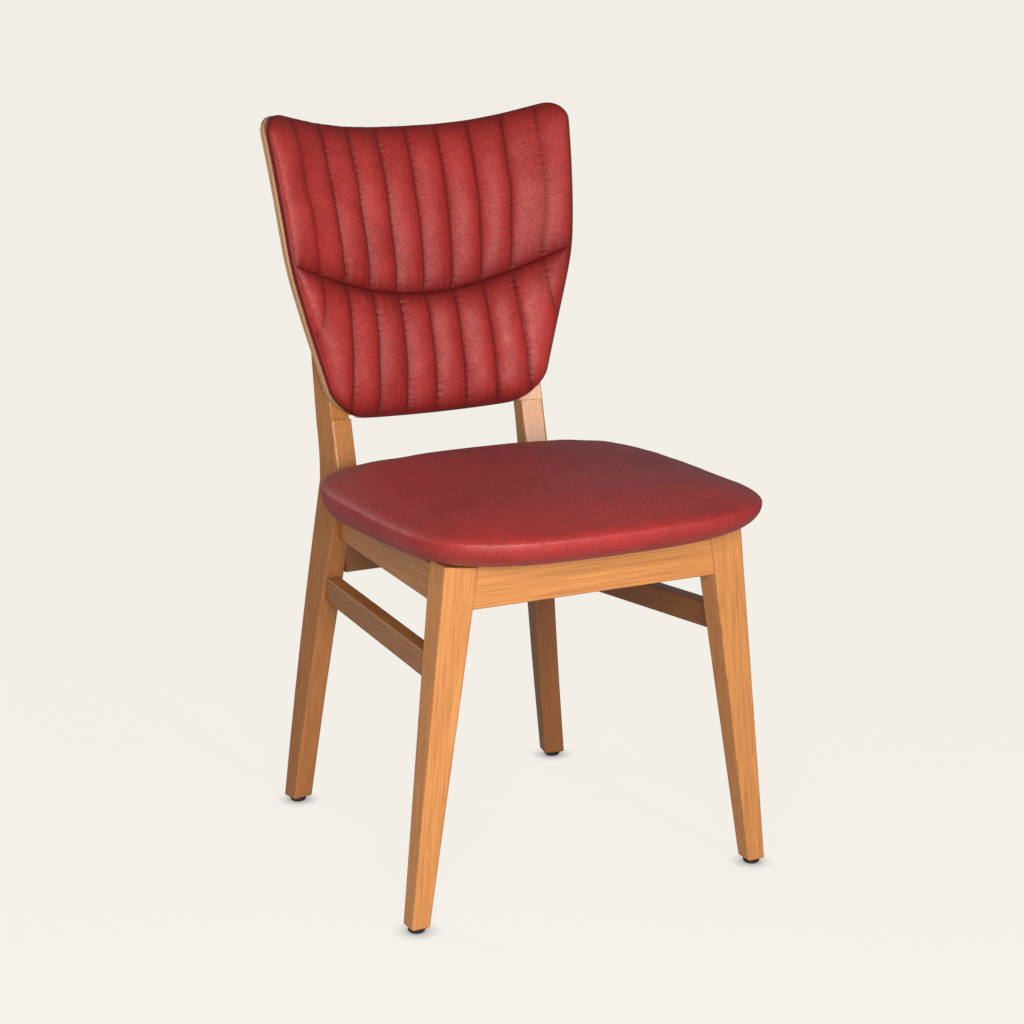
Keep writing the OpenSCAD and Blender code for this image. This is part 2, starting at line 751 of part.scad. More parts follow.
module seat_bolt_bore(corner) {
    translate([0, 0, seat_bolt_seat(corner)]) {
        cylinder(h = block_h + overrun, d = bolt_dia + 2 * joint_fit, $fn = round_n);
        translate([0, 0, -overrun]) cylinder(h = overrun, d = bolt_head_dia + 2 * joint_fit, $fn = round_n);
    }
}

module seat_bolts() {
    color(steel) in_place() for (side = sides) on_side(side) for (corner = [0, 1])
        at_seat_bolt(corner) translate([0, 0, seat_bolt_seat(corner)])
            bolt(leather_t + board_t - tee_flange_t - seat_bolt_seat(corner));
}

module seat_tee_nuts() {
    color(steel) in_place() for (side = sides) on_side(side) for (corner = [0, 1])
        at_seat_bolt(corner) tee_nut(leather_t + board_t);
}

// Back shell and pad share one surface. s runs up the shell's middle from its bottom edge, u runs
// from -1 to 1 across it, and h is the height above the shell's front face, negative behind it.
side_steep = 0.29;
side_slight = 0.07;
waist_soft = 30;
top_power = 1.6;
function shell_half(s) = let (t = s - waist_at)
    waist_half + (side_steep + side_slight) / 2 * t
    - (side_steep - side_slight) / 2 * sqrt(t * t + waist_soft * waist_soft);
function flare(s) = s < flare_at ? 0 : pow(s - flare_at, 2) / (2 * flare_r);
function bottom_s(u) = corner_lift * u * u;
function top_s(u) = shell_len + corner_rise * (1 - cos(180 * pow(abs(u), top_power))) / 2;
function seam_s(u) = seam_at + seam_rise * (1 - cos(90 * u));
function corner_cut(r, d) = d >= r ? 0 : r - sqrt(max(0, r * r - pow(r - d, 2)));

// The sewn channels spread a little above and below the level seam
spread_share = 0.08;
spread_reach = 100;
function spread(u, s) = 1 + spread_share * min(1, abs(s - seam_s(u)) / spread_reach);

// Half the width at a height, with the corners' rounding, and the place across the shell: the
// middle keeps the channels' spacing, and the columns crowd together towards the outline
crowd_power = 8;
function reach_at(u, s, inset) = shell_half(s) - inset
    - corner_cut(top_corner_r, top_s(u) - inset - s)
    - corner_cut(bottom_corner_r, s - bottom_s(u) - inset);
function across(u, s, inset) = let (
        flat = (waist_half - inset) * spread(u, s),
        crowd = pow(flat / reach_at(u, s, inset), crowd_power) - 1)
    flat * u / pow(1 + crowd * pow(abs(u), crowd_power), 1 / crowd_power);

// A point of the shell's surface, lifted by h towards the sitter, in the shell's own frame
function on_surface(x, s, h) = let (phi = asin(x / shell_r), r = shell_r - h)
    [r * sin(phi), r * cos(phi) - shell_r + flare(s), s];

module on_shell() {
    translate([0, shell_foot_y, shell_bottom_z]) rotate([-shell_lean, 0, 0]) children();
}

row_shares = [0, 0.02, 0.06, 0.12, 0.24, 0.36, 0.48, 0.6, 0.72, 0.84, 0.92, 0.96, 0.985, 1];
column_shares = [for (k = [-12:12]) sin(90 * k / 12)];

function shell_grid(h) = [
    for (t = row_shares) [
        for (u = column_shares) let (s = mix(bottom_s(u), top_s(u), t))
            on_surface(across(u, s, 0), s, h)]];

module back_shell() {
    color(ply) in_place() difference() {
        on_shell() slab(shell_grid(0), shell_grid(-shell_t));
        for (side = sides) on_side(side) for (at = shell_bolt_at)
            at_shell_bolt(at) shell_nut_socket();
    }
}

// Pad thickness over the shell for a panel: p is [gain at its lower edge, gain at its upper edge,
// bulge], t runs from 0 to 1 up the panel
lower_panel = [0, pad_pinch - pad_rim, lower_bulge];
upper_panel = [pad_pinch - pad_rim, 0, upper_bulge];
roll_power = 2.6;
roll_round = 0.6;
side_roll = 12;
function panel_full(t) = pow(max(0, 1 - pow(abs(2 * t - 1), roll_power)), roll_round);
function side_full(u, s) = sqrt(max(0,
    1 - pow(abs(across(u, s, pad_inset)) / reach_at(u, s, pad_inset), side_roll)));
function pad_base(p, u, s, t) = pad_rim + side_full(u, s) * (mix(p[0], p[1], t) + p[2] * panel_full(t));

// Channels: the leather rises between its seams. q counts channels outwards from the middle seam.
channel_count = 8;
function channel_crown(q) = q > channel_count / 2
    ? sin(90 * min(1, 3 * (q - channel_count / 2)))
    : pow(abs(sin(180 * q)), 0.7);
function pad_height(p, u, s, t) = pad_base(p, u, s, t)
    + channel_depth * side_full(u, s) * sqrt(panel_full(t))
    * channel_crown(abs(across(u, s, pad_inset)) / spread(u, s) / channel_w);

// The ends of a column of each panel
seam_gap = 0.8;
function lower_ends(u, inset) = [bottom_s(u) + pad_inset + inset, seam_s(u) - seam_gap / 2 - inset];
function upper_ends(u, inset) = [seam_s(u) + seam_gap / 2 + inset, top_s(u) - pad_inset - inset];

column_steps = 4;
edge_shares = [0.3, 0.55, 0.75, 0.9, 1];
channel_edge = channel_count / 2 * channel_w / (waist_half - pad_inset);
half_columns = concat(
    [for (k = [1:channel_count / 2 * column_steps]) channel_edge * k / (channel_count / 2 * column_steps)],
    [for (e = edge_shares) mix(channel_edge, 1, e)]);
pad_columns = concat([for (k = [len(half_columns) - 1:-1:0]) -half_columns[k]], [0], half_columns);
upper_rows = [0, 0.03, 0.08, 0.17, 0.3, 0.45, 0.6, 0.74, 0.85, 0.92, 0.96, 0.985, 1];
lower_rows = [0, 0.02, 0.06, 0.12, 0.22, 0.36, 0.52, 0.68, 0.82, 0.92, 0.97, 1];

// A face of a cover: the outer one, or the inner one, which comes down to the shell at its rim
function cover_face(p, rows, upper, inner) = [
    for (j = [0:len(rows) - 1]) [
        for (i = [0:len(pad_columns) - 1]) let (
                t = rows[j],
                u = pad_columns[i],
                ends = upper ? upper_ends(u, 0) : lower_ends(u, 0),
                s = mix(ends[0], ends[1], t),
                rim = j == 0 || j == len(rows) - 1 || i == 0 || i == len(pad_columns) - 1,
                h = pad_height(p, u, s, t))
            on_surface(across(u, s, pad_inset), s, inner ? (rim ? soft_fit : h - leather_t) : h)]];

module cover(p, rows, upper) {
    color(leather) in_place() on_shell()
        slab(cover_face(p, rows, upper, false), cover_face(p, rows, upper, true));
}

module back_cover_upper() { cover(upper_panel, upper_rows, true); }
module back_cover_lower() { cover(lower_panel, lower_rows, false); }

// Foam under each cover, up to the bottoms of the channels
foam_rows = [0.06, 0.14, 0.26, 0.42, 0.6, 0.76, 0.88, 0.95];
foam_columns = [for (k = [-8:8]) 0.94 * sin(90 * k / 8)];

function foam_face(p, upper, front) = [
    for (t = foam_rows) [
        for (u = foam_columns) let (
                ends = upper ? upper_ends(u, 0) : lower_ends(u, 0),
                s = mix(ends[0], ends[1], t))
            on_surface(across(u, s, pad_inset), s,
                front ? pad_base(p, u, s, t) - leather_t - 2 * soft_fit : soft_fit)]];

module back_foam_upper() {
    color(foam) in_place() on_shell()
        slab(foam_face(upper_panel, true, true), foam_face(upper_panel, true, false));
}

module back_foam_lower() {
    color(foam) in_place() on_shell()
        slab(foam_face(lower_panel, false, true), foam_face(lower_panel, false, false));
}

// The uprights' fronts are hollowed to the shell's back
cope_start = 3;

module shell_cope() {
    on_shell() translate([0, -shell_r, cope_start])
        cylinder(h = shell_len, r = shell_r + shell_t + joint_fit, $fn = 4 * round_n);
}

// Bolts that hold the shell, two up each upright. The bolt's line points at the shell's front:
// z = 0 is the shell's front face.
shell_bolt_at = [64, 182];
shell_bolt_grip = 18;
shell_bolt_turn = asin((rear_leg_half - rear_leg_w / 2) / (shell_r + shell_t));

module at_shell_bolt(s) {
    on_shell() translate([0, -shell_r, s]) rotate([0, 0, -shell_bolt_turn]) translate([0, shell_r, 0])
        rotate([90, 0, 0]) children();
}

module shell_bolt_bore() {
    translate([0, 0, -shell_t - shell_bolt_grip - overrun])
        cylinder(h = shell_bolt_grip + 2 * overrun, d = bolt_dia + 2 * joint_fit, $fn = round_n);
    translate([0, 0, -shell_t - shell_bolt_grip - overrun])
        cylinder(h = overrun, d = bolt_head_dia + 2 * joint_fit, $fn = round_n);
}

module shell_nut_socket() {
    tee_nut_socket(-joint_fit, overrun);
}

module back_bolts() {
    color(steel) in_place() for (side = sides) on_side(side) for (at = shell_bolt_at)
        at_shell_bolt(at) translate([0, 0, -shell_t - shell_bolt_grip])
            bolt(shell_t + shell_bolt_grip - tee_flange_t);
}

module back_tee_nuts() {
    color(steel) in_place() for (side = sides) on_side(side) for (at = shell_bolt_at)
        at_shell_bolt(at) tee_nut(-joint_fit);
}

// Feet: a domed plastic glide under each leg, held by a nail
nail_len = 20;
nail_head_dia = 3 * nail_dia;
nail_head_h = nail_dia / 2;
nail_seat = glide_h / 2;

module nail_shank(grow) {
    cylinder(h = glide_h + nail_len + grow, d = nail_dia + 2 * grow, $fn = round_n);
}

module nail() {
    translate([0, 0, nail_seat]) cylinder(h = glide_h + nail_len - nail_seat, d = nail_dia, $fn = round_n);
    translate([0, 0, nail_seat - nail_head_h]) cylinder(h = nail_head_h, d = nail_head_dia, $fn = round_n);
}

module glide() {
    rim = glide_h / 3;
    difference() {
        rotate_extrude($fn = round_n) polygon([
            [0, 0], [glide_dia / 2 - rim, 0], [glide_dia / 2, rim], [glide_dia / 2, glide_h - rim / 2],
            [glide_dia / 2 - rim / 2, glide_h], [0, glide_h]]);
        nail_shank(joint_fit);
        cylinder(h = nail_seat, d = nail_head_dia + 2 * joint_fit, $fn = round_n);
    }
}

module at_front_foot() { translate([front_leg_x(glide_h), front_foot_d / 2, 0]) children(); }
module at_rear_foot() { translate([rear_x(glide_h), rear_y(glide_h), 0]) children(); }

module glide_front(side) { color(black) in_place() on_side(side) at_front_foot() glide(); }
module glide_rear(side) { color(black) in_place() on_side(side) at_rear_foot() glide(); }

module glide_nails() {
    color(steel) in_place() for (side = sides) on_side(side) {
        at_front_foot() nail();
        at_rear_foot() nail();
    }
}

front_leg(-1);  // front_leg_left
front_leg(1);  // front_leg_right
rear_leg(-1);  // rear_leg_left
rear_leg(1);  // rear_leg_right
front_rail();
side_rail(-1);  // side_rail_left
side_rail(1);  // side_rail_right
back_rail();
stretcher(-1);  // stretcher_left
stretcher(1);  // stretcher_right
block_front(-1);  // block_front_left
block_front(1);  // block_front_right
block_rear(-1);  // block_rear_left
block_rear(1);  // block_rear_right
block_screws();
seat_board();
seat_foam();
seat_cover();
seat_dust_cover();
seat_bolts();
seat_tee_nuts();
back_shell();
back_foam_upper();
back_foam_lower();
back_cover_upper();
back_cover_lower();
back_bolts();
back_tee_nuts();
glide_front(-1);  // glide_front_left
glide_front(1);  // glide_front_right
glide_rear(-1);  // glide_rear_left
glide_rear(1);  // glide_rear_right
glide_nails();
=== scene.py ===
# Restaurant chair: slender wooden frame, plywood back with a channelled leather pad, domed leather seat
import bpy
import numpy as np
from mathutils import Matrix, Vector
from mathutils.kdtree import KDTree


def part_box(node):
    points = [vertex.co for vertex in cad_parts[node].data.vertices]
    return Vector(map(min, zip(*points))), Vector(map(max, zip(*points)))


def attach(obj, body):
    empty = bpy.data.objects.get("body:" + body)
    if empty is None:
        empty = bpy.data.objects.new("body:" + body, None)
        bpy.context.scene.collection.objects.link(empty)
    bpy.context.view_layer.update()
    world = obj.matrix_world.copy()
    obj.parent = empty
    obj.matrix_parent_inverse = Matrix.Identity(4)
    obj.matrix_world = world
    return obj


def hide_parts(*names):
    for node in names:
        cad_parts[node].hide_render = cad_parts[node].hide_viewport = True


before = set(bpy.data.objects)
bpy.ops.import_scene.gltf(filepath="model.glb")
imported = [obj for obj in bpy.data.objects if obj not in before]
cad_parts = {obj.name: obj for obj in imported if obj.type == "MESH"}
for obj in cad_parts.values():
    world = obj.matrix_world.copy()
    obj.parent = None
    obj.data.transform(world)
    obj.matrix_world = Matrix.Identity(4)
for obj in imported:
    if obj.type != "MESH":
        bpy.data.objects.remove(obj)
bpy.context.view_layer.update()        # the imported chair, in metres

print("frame:", len(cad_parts), "nodes")

# the lines that all pieces are set out from: y is counted from the front faces of the front legs
chair = {
    "body": "root",
    "legFronts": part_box("front_leg_left")[0].y,
    "frameTop": 0.424,
    "seatFall": 3.2,
}


def mix(a, b, share):
    return a + (b - a) * share


def smooth(low, high, value):
    # 0 under low, 1 over high, and an S between them
    t = np.clip((value - low) / (high - low), 0, 1)
    return t * t * (3 - 2 * t)


def gridQuads(rows, columns, wrap=False):
    # the corners of every cell of a grid of points that is kept row by row
    k = np.arange(rows * columns).reshape(rows, columns)
    if wrap:
        k = np.concatenate([k, k[:, :1]], axis=1)
    return np.stack([k[:-1, :-1], k[:-1, 1:], k[1:, 1:], k[1:, :-1]], axis=-1).reshape(-1, 4)


def edgeLoop(rows, columns):
    # the points round the edge of such a grid, along its first row first
    k = np.arange(rows * columns).reshape(rows, columns)
    return np.concatenate([k[0, :-1], k[:-1, -1], k[-1, :0:-1], k[:0:-1, 0]])


def closedSlab(layers):
    # layers are grids from the front to the back: the first and the last are its faces, and those
    # between lend their edges only
    rows, columns, size = layers[0].shape
    edge = edgeLoop(rows, columns)
    flat = [layer.reshape(-1, size) for layer in layers]
    n = rows * columns
    points = np.concatenate([flat[0], flat[-1]] + [layer[edge] for layer in flat[1:-1]])
    between = [2 * n + k * len(edge) + np.arange(len(edge)) for k in range(len(layers) - 2)]
    loops = [edge] + between + [edge + n]
    cells = gridQuads(rows, columns)
    pairs = zip(loops, loops[1:])
    strips = [np.stack([a, b, np.roll(b, -1), np.roll(a, -1)], axis=-1) for a, b in pairs]
    return points, [cells, cells[:, ::-1] + n] + strips


def ripples(x, y, length, heading, spread, seed, count=20):
    # a sum of long straight waves of nearly one length, which run within spread of a heading, from
    # about -1 to 1
    draw = np.random.default_rng(seed)
    angle = heading + spread * draw.uniform(-1, 1, count)
    wave = 2 * np.pi / (length * draw.uniform(0.65, 1.5, count))
    start = draw.uniform(0, 2 * np.pi, count)
    along = x[..., None] * np.cos(angle) + y[..., None] * np.sin(angle)
    return np.sin(along * wave + start).sum(axis=-1) / np.sqrt(count)


def makePiece(name, points, faceSets, finish, slotName, marks=()):
    # points hold x, y and z, and then one value for each name in marks
    mesh = bpy.data.meshes.new(name)
    mesh.vertices.add(len(points))
    mesh.vertices.foreach_set("co", points[:, :3].astype(np.float32).ravel())
    corners = np.concatenate([faces.ravel() for faces in faceSets]).astype(np.int32)
    sizes = np.concatenate([np.full(len(faces), faces.shape[1]) for faces in faceSets])
    mesh.loops.add(len(corners))
    mesh.loops.foreach_set("vertex_index", corners)
    mesh.polygons.add(len(sizes))
    mesh.polygons.foreach_set("loop_start", (np.cumsum(sizes) - sizes).astype(np.int32))
    mesh.polygons.foreach_set("use_smooth", np.ones(len(sizes), dtype=bool))
    mesh.update(calc_edges=True)
    for k, mark in enumerate(marks):
        values = np.ascontiguousarray(points[:, 3 + k], dtype=np.float32)
        mesh.attributes.new(mark, "FLOAT", "POINT").data.foreach_set("value", values)
    if finish:
        mesh.materials.append(finish)
    piece = bpy.data.objects.new(name, mesh)
    bpy.context.scene.collection.objects.link(piece)
    if slotName:
        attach(piece, chair["body"])
    return piece


# Sums on links add Math nodes, so that a pattern reads as a formula
class Link:
    def __init__(self, finish, socket):
        self.finish = finish
        self.socket = socket

    def sum(self, operation, first, second):
        return self.finish.add("ShaderNodeMath", {"operation": operation}, {0: first, 1: second})

    def __add__(self, other):
        return self.sum("ADD", self, other)

    def __radd__(self, other):
        return self.sum("ADD", other, self)

    def __sub__(self, other):
        return self.sum("SUBTRACT", self, other)

    def __rsub__(self, other):
        return self.sum("SUBTRACT", other, self)

    def __mul__(self, other):
        return self.sum("MULTIPLY", self, other)

    def __rmul__(self, other):
        return self.sum("MULTIPLY", other, self)


# One material, which ends in a Principled shader
class Finish:
    def __init__(self, name, **constants):
        self.material = bpy.data.materials.new(name)
        self.material.use_nodes = True
        self.tree = self.material.node_tree
        self.shader = next(n for n in self.tree.nodes if n.type == "BSDF_PRINCIPLED")
        for socket, value in constants.items():
            self.shader.inputs[socket.replace("_", " ")].default_value = value
        self.place = self.add("ShaderNodeTexCoord", {}, {}, out="Object")

    def add(self, kind, settings, sockets, out=0):
        # a node of that kind: its settings first, then the values or links of its sockets
        node = self.tree.nodes.new(kind)
        for key, value in settings.items():
            if key == "stops":
                self.setStops(node.color_ramp, value)
            else:
                setattr(node, key, value)
        for key, value in sockets.items():
            if isinstance(value, Link):
                self.tree.links.new(value.socket, node.inputs[key])
            else:
                node.inputs[key].default_value = value
        return Link(self, node.outputs[out])

    def setStops(self, ramp, stops):
        while len(ramp.elements) < len(stops):
            ramp.elements.new(1)
        for element, (position, colour) in zip(ramp.elements, stops):
            element.position = position
            element.color = colour

    def mark(self, name):
        return self.add("ShaderNodeAttribute", {"attribute_name": name}, {}, out="Fac")

    def noise(self, place, scale, detail=2, rough=0.5, twist=0.0):
        sockets = {"Vector": place, "Scale": scale, "Detail": detail, "Roughness": rough, "Distortion": twist}
        return self.add("ShaderNodeTexNoise", {}, sockets)

    def axis(self, letter):
        return self.add("ShaderNodeSeparateXYZ", {}, {0: self.place}, out=letter)

    def fraction(self, value):
        return self.add("ShaderNodeMath", {"operation": "FRACT"}, {0: value})

    def cells(self, place, scale, feature="F1"):
        return self.add("ShaderNodeTexVoronoi", {"feature": feature}, {"Vector": place, "Scale": scale})

    def span(self, value, low, high, toLow=0.0, toHigh=1.0):
        # value from low to high becomes toLow to toHigh, clamped
        return self.add("ShaderNodeMapRange", {}, {0: value, 1: low, 2: high, 3: toLow, 4: toHigh})

    def blend(self, share, first, second, mode="MIX"):
        settings = {"data_type": "RGBA", "blend_type": mode}
        return self.add("ShaderNodeMix", settings, {0: share, 6: first, 7: second}, out=2)

    def bump(self, height, depth, normal=None):
        sockets = {"Height": height, "Distance": depth, "Strength": 1.0}
        if normal:
            sockets["Normal"] = normal
        return self.add("ShaderNodeBump", {}, sockets)

    def end(self, **links):
        for socket, link in links.items():
            self.tree.links.new(link.socket, self.shader.inputs[socket.replace("_", " ")])
        return self.material


def shade(red, green, blue):
    # a colour as a paint chart gives it, 0 to 255, as light
    c = np.array([red, green, blue]) / 255
    light = np.where(c <= 0.04045, c / 12.92, ((c + 0.055) / 1.055) ** 2.4)
    return (*light.tolist(), 1.0)


# Leather: red aniline hide, waxed. Its fold colour is painted shade in the grooves of the seams, at the
# panels' ends and on their rolled edges, together with the hide's own darkening in its folds.
# The pale crowns are partly wear and partly painted highlight. A noise is given by its detail, its roughness
# and its twist
leather = {
    "fold": shade(96, 18, 18),
    "deep": shade(138, 34, 32),
    "red": shade(172, 46, 43),
    "wearAndHighlight": shade(200, 88, 80),
    "cloud": (4, 0.6, 0.6),
    "patch": (4, 0.65, 0.2),
    "patchFiner": 6,
    "speck": (3, 0.75),
    "speckScale": 315,
    "fleck": (2, 0.7),
    "fleckScale": 900,
    "poreScale": 620,
    "creaseScale": 130,
    "toneSpan": (0.36, 0.62),
    "dotSpan": (0.40, 0.52),
    # the pale crowns of the back's channels: partly wear, partly painted highlight
    "wearAndHighlightSpan": (0.75, 1.4),
    "wear": 0.22,
    "foldShade": 0.85,
    "dotShade": 0.42,
    "roughSpan": (0.60, 0.44),
    "poreSpan": (0.0, 0.7),
    "creaseSpan": (0.0, 0.12),
    "sheen": 0.02,
    "sheenRough": 0.4,
}
hides = {
    "back": {"mottle": 11, "grainDepth": 0.00015, "gloss": 0.30, "marked": True},
    "seat": {"mottle": 9, "grainDepth": 0.00030, "gloss": 0.55, "marked": False},
}


def leatherFinish(which):
    # clouds and patches set the tone, wear and painted highlight follow the crown mark, painted shade the
    # fold mark, and dark dots lie over all
    look = hides[which]
    hide = Finish(which + "Leather", Specular_IOR_Level=look["gloss"], Sheen_Weight=leather["sheen"],
                  Sheen_Roughness=leather["sheenRough"])
    cloud = hide.noise(hide.place, look["mottle"], *leather["cloud"])
    patch = hide.noise(hide.place, look["mottle"] * leather["patchFiner"], *leather["patch"])
    speck = hide.noise(hide.place, leather["speckScale"], *leather["speck"])
    fleck = hide.noise(hide.place, leather["fleckScale"], *leather["fleck"])
    pores = hide.cells(hide.place, leather["poreScale"])
    creases = hide.cells(hide.place, leather["creaseScale"], "DISTANCE_TO_EDGE")
    tone = hide.span(cloud * 0.4 + patch * 0.25 + speck * 0.35, *leather["toneSpan"])
    dots = hide.span(fleck * 0.6 + speck * 0.4, *leather["dotSpan"], 1.0, 0.0)
    colour = hide.blend(tone, leather["deep"], leather["red"])
    if look["marked"]:
        # wear and painted highlight: the crowns of the channels are blended towards a pale pink
        wearAndHighlight = hide.span(hide.mark("crown") + tone * 0.35, *leather["wearAndHighlightSpan"], 0.0, leather["wear"])
        colour = hide.blend(wearAndHighlight, colour, leather["wearAndHighlight"])
        # painted shade: the grooves, the panels' ends and their rolled edges are blended towards dark red
        colour = hide.blend(hide.mark("fold") * leather["foldShade"], colour, leather["fold"])
    colour = hide.blend(dots * leather["dotShade"], colour, leather["fold"])
    rough = hide.span(tone - dots * 0.4, -0.4, 1.0, *leather["roughSpan"])
    grain = (hide.span(pores, *leather["poreSpan"]) * 0.6 + speck * 0.5
             + hide.span(creases, *leather["creaseSpan"]) * 0.35)
    return hide.end(Base_Color=colour, Roughness=rough, Normal=hide.bump(grain, look["grainDepth"]))


leathers = {which: leatherFinish(which) for which in hides}


# Wood: each stick has its own grain line, worked out from the ends of its box
wood = {
    "pale": shade(207, 143, 80),
    "mid": shade(174, 108, 55),
    "dark": shade(112, 64, 32),
    "stretch": 0.016,     # how much the grain is drawn out along the stick
    "slowStretch": 0.048,
    "shift": (0.37, 0.21),     # from one stick's grain to the next one's
    "fibreScale": 700,
    "fibre": (3, 0.6),
    "streakScale": 420,
    "streak": (3, 0.65),
    "poreScale": 560,
    "pore": (1, 0.5),
    "ringScale": 26,
    "ring": (2, 0.5, 0.4),
    "rings": 9,
    "toneSpan": (0.34, 0.66),
    "poreSpan": (0.30, 0.38),
    "lateFrom": 0.55,     # a year ring darkens from here on, and ends at lateEnd
    "lateEnd": 0.93,
    "lateShade": 0.16,
    "poreShade": 0.22,
    "roughSpan": (0.48, 0.36),
    "gloss": 0.5,
    "coat": 0.25,
    "coatRough": 0.22,
    "grainDepth": 0.00005,
    "round": 0.0016,
    "paintedShadeTurns": (0.34, 0.50),     # heights between which a rear leg's painted shade changes from its share under the seat to its share over it
}


def woodFinish(name, along, seed, shadeShare=0.0, upperShadeShare=None):
    along = np.array(along, dtype=float)
    along /= np.linalg.norm(along)
    side = np.cross(along, [0.0, 0.0, 1.0] if abs(along[2]) < 0.9 else [0.0, 1.0, 0.0])
    side /= np.linalg.norm(side)
    third = np.cross(along, side)
    stick = Finish(name, Specular_IOR_Level=wood["gloss"], Coat_Weight=wood["coat"],
                   Coat_Roughness=wood["coatRough"])

    def run(axis):
        sockets = {0: stick.place, 1: tuple(axis)}
        return stick.add("ShaderNodeVectorMath", {"operation": "DOT_PRODUCT"}, sockets, out="Value")

    u, v, w = run(side) + seed * wood["shift"][0], run(third) + seed * wood["shift"][1], run(along)
    lines = stick.add("ShaderNodeCombineXYZ", {}, {0: u, 1: v, 2: w * wood["stretch"]})
    slow = stick.add("ShaderNodeCombineXYZ", {}, {0: u, 1: v, 2: w * wood["slowStretch"]})
    fibre = stick.noise(lines, wood["fibreScale"], *wood["fibre"])
    streak = stick.noise(lines, wood["streakScale"], *wood["streak"])
    swirl = stick.noise(slow, wood["ringScale"], *wood["ring"])
    rings = stick.fraction(swirl * wood["rings"])
    late = stick.span(rings, wood["lateFrom"], 1.0) * stick.span(rings, 1.0, wood["lateEnd"])
    pores = stick.span(stick.noise(slow, wood["poreScale"], *wood["pore"]), *wood["poreSpan"], 1.0, 0.0)
    tone = stick.span(fibre * 0.5 + streak * 0.5, *wood["toneSpan"])
    colour = stick.blend(tone, wood["mid"], wood["pale"])
    colour = stick.blend(late * wood["lateShade"], colour, wood["dark"])
    colour = stick.blend(pores * wood["poreShade"], colour, wood["dark"])
    # painted shade: the stick is blended towards dark wood, and a rear leg more under the seat than over it
    if upperShadeShare is not None:
        shadeShare = stick.span(stick.axis("Z"), *wood["paintedShadeTurns"], shadeShare, upperShadeShare)
    if shadeShare:
        colour = stick.blend(shadeShare, colour, wood["dark"])
    rough = stick.span(tone, 0.0, 1.0, *wood["roughSpan"])
    soft = stick.add("ShaderNodeBevel", {"samples": 4}, {"Radius": wood["round"]})
    height = fibre * 0.5 - pores * 0.5 + late * 0.3
    return stick.end(Base_Color=colour, Roughness=rough, Normal=stick.bump(height, wood["grainDepth"], soft))


def dress(names, finish):
    for name in names:
        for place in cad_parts[name].material_slots:
            place.material = finish


def leaning(name, sideways, backwards):
    # the line of a leg, from the sizes of its box less its own width and depth
    low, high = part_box(name)
    side = -1 if low.x < 0 else 1
    return (side * sideways, backwards, -(high.z - low.z))


# how far a stick runs to the side and to the back: in metres for a leg, for each metre of depth else,
# where the second value is its rise
slopes = {
    "front": (0.035, -0.008),
    "rear": (0.049, 0.044),
    "side": (0.115, -0.055),
    "stretcher": (0.05, -0.04),
}
# painted shade: the rear legs, the stretchers and the back rail are blended towards dark wood where the seat
# shades them, the right ones more
paintedShades = {
    "rear": {"left": (0.45, 0.20), "right": (0.70, 0.0)},     # painted shade under the seat, and over it
    "stretcher": {"left": 0.45, "right": 0.90},
    "backRail": 0.88,
}


def dressFrame():
    for k, hand in enumerate(("left", "right")):
        side = -1 if hand == "left" else 1
        front = leaning("front_leg_" + hand, *slopes["front"])
        rear = leaning("rear_leg_" + hand, *slopes["rear"])
        rail = (-side * slopes["side"][0], 1, slopes["side"][1])
        bar = (-side * slopes["stretcher"][0], 1, slopes["stretcher"][1])
        railWood = woodFinish("sideRailWood" + hand, rail, 5 + k)
        dress(["front_leg_" + hand], woodFinish("frontLegWood" + hand, front, 1 + k))
        dress(["rear_leg_" + hand], woodFinish("rearLegWood" + hand, rear, 3 + k, *paintedShades["rear"][hand]))
        dress(["side_rail_" + hand, "block_front_" + hand, "block_rear_" + hand], railWood)
        barWood = woodFinish("stretcherWood" + hand, bar, 7 + k, paintedShades["stretcher"][hand])
        dress(["stretcher_" + hand], barWood)
    dress(["front_rail"], woodFinish("frontRailWood", (1, 0, 0), 9))
    dress(["back_rail"], woodFinish("backRailWood", (1, 0, 0), 10, paintedShades["backRail"]))
    print("frame dressed")


dressFrame()


# Small parts under the seat and behind the back
fittings = {
    "steel": shade(150, 150, 152),
    "dullSteel": shade(120, 120, 124),
    "steelScale": 300,
    "steelRough": (0.28, 0.45),
    "steelDepth": 0.00003,
    "black": shade(24, 23, 23),
    "scuffed": shade(52, 50, 49),
    "scuffScale": 420,
    "scuffRough": (0.42, 0.62),
    "scuffDepth": 0.00006,
    "fluff": shade(58, 56, 57),
    "fluffScale": 240,
    "fluffRough": (0.8, 0.95),
    "threadPitch": 0.0011,
    "weaveDepth": 0.0001,
}


def steelFinish():
    metal = Finish("zincSteel", Metallic=1.0)
    wear = metal.noise(metal.place, fittings["steelScale"], 3, 0.6)
    colour = metal.blend(metal.span(wear, 0.35, 0.65), fittings["dullSteel"], fittings["steel"])
    rough = metal.span(wear, 0.3, 0.7, *fittings["steelRough"])
    return metal.end(Base_Color=colour, Roughness=rough, Normal=metal.bump(wear, fittings["steelDepth"]))


def plasticFinish():
    glide = Finish("glidePlastic", Specular_IOR_Level=0.45)
    scuff = glide.noise(glide.place, fittings["scuffScale"], 4, 0.65)
    colour = glide.blend(glide.span(scuff, 0.45, 0.75), fittings["black"], fittings["scuffed"])
    rough = glide.span(scuff, 0.3, 0.7, *fittings["scuffRough"])
    return glide.end(Base_Color=colour, Roughness=rough, Normal=glide.bump(scuff, fittings["scuffDepth"]))


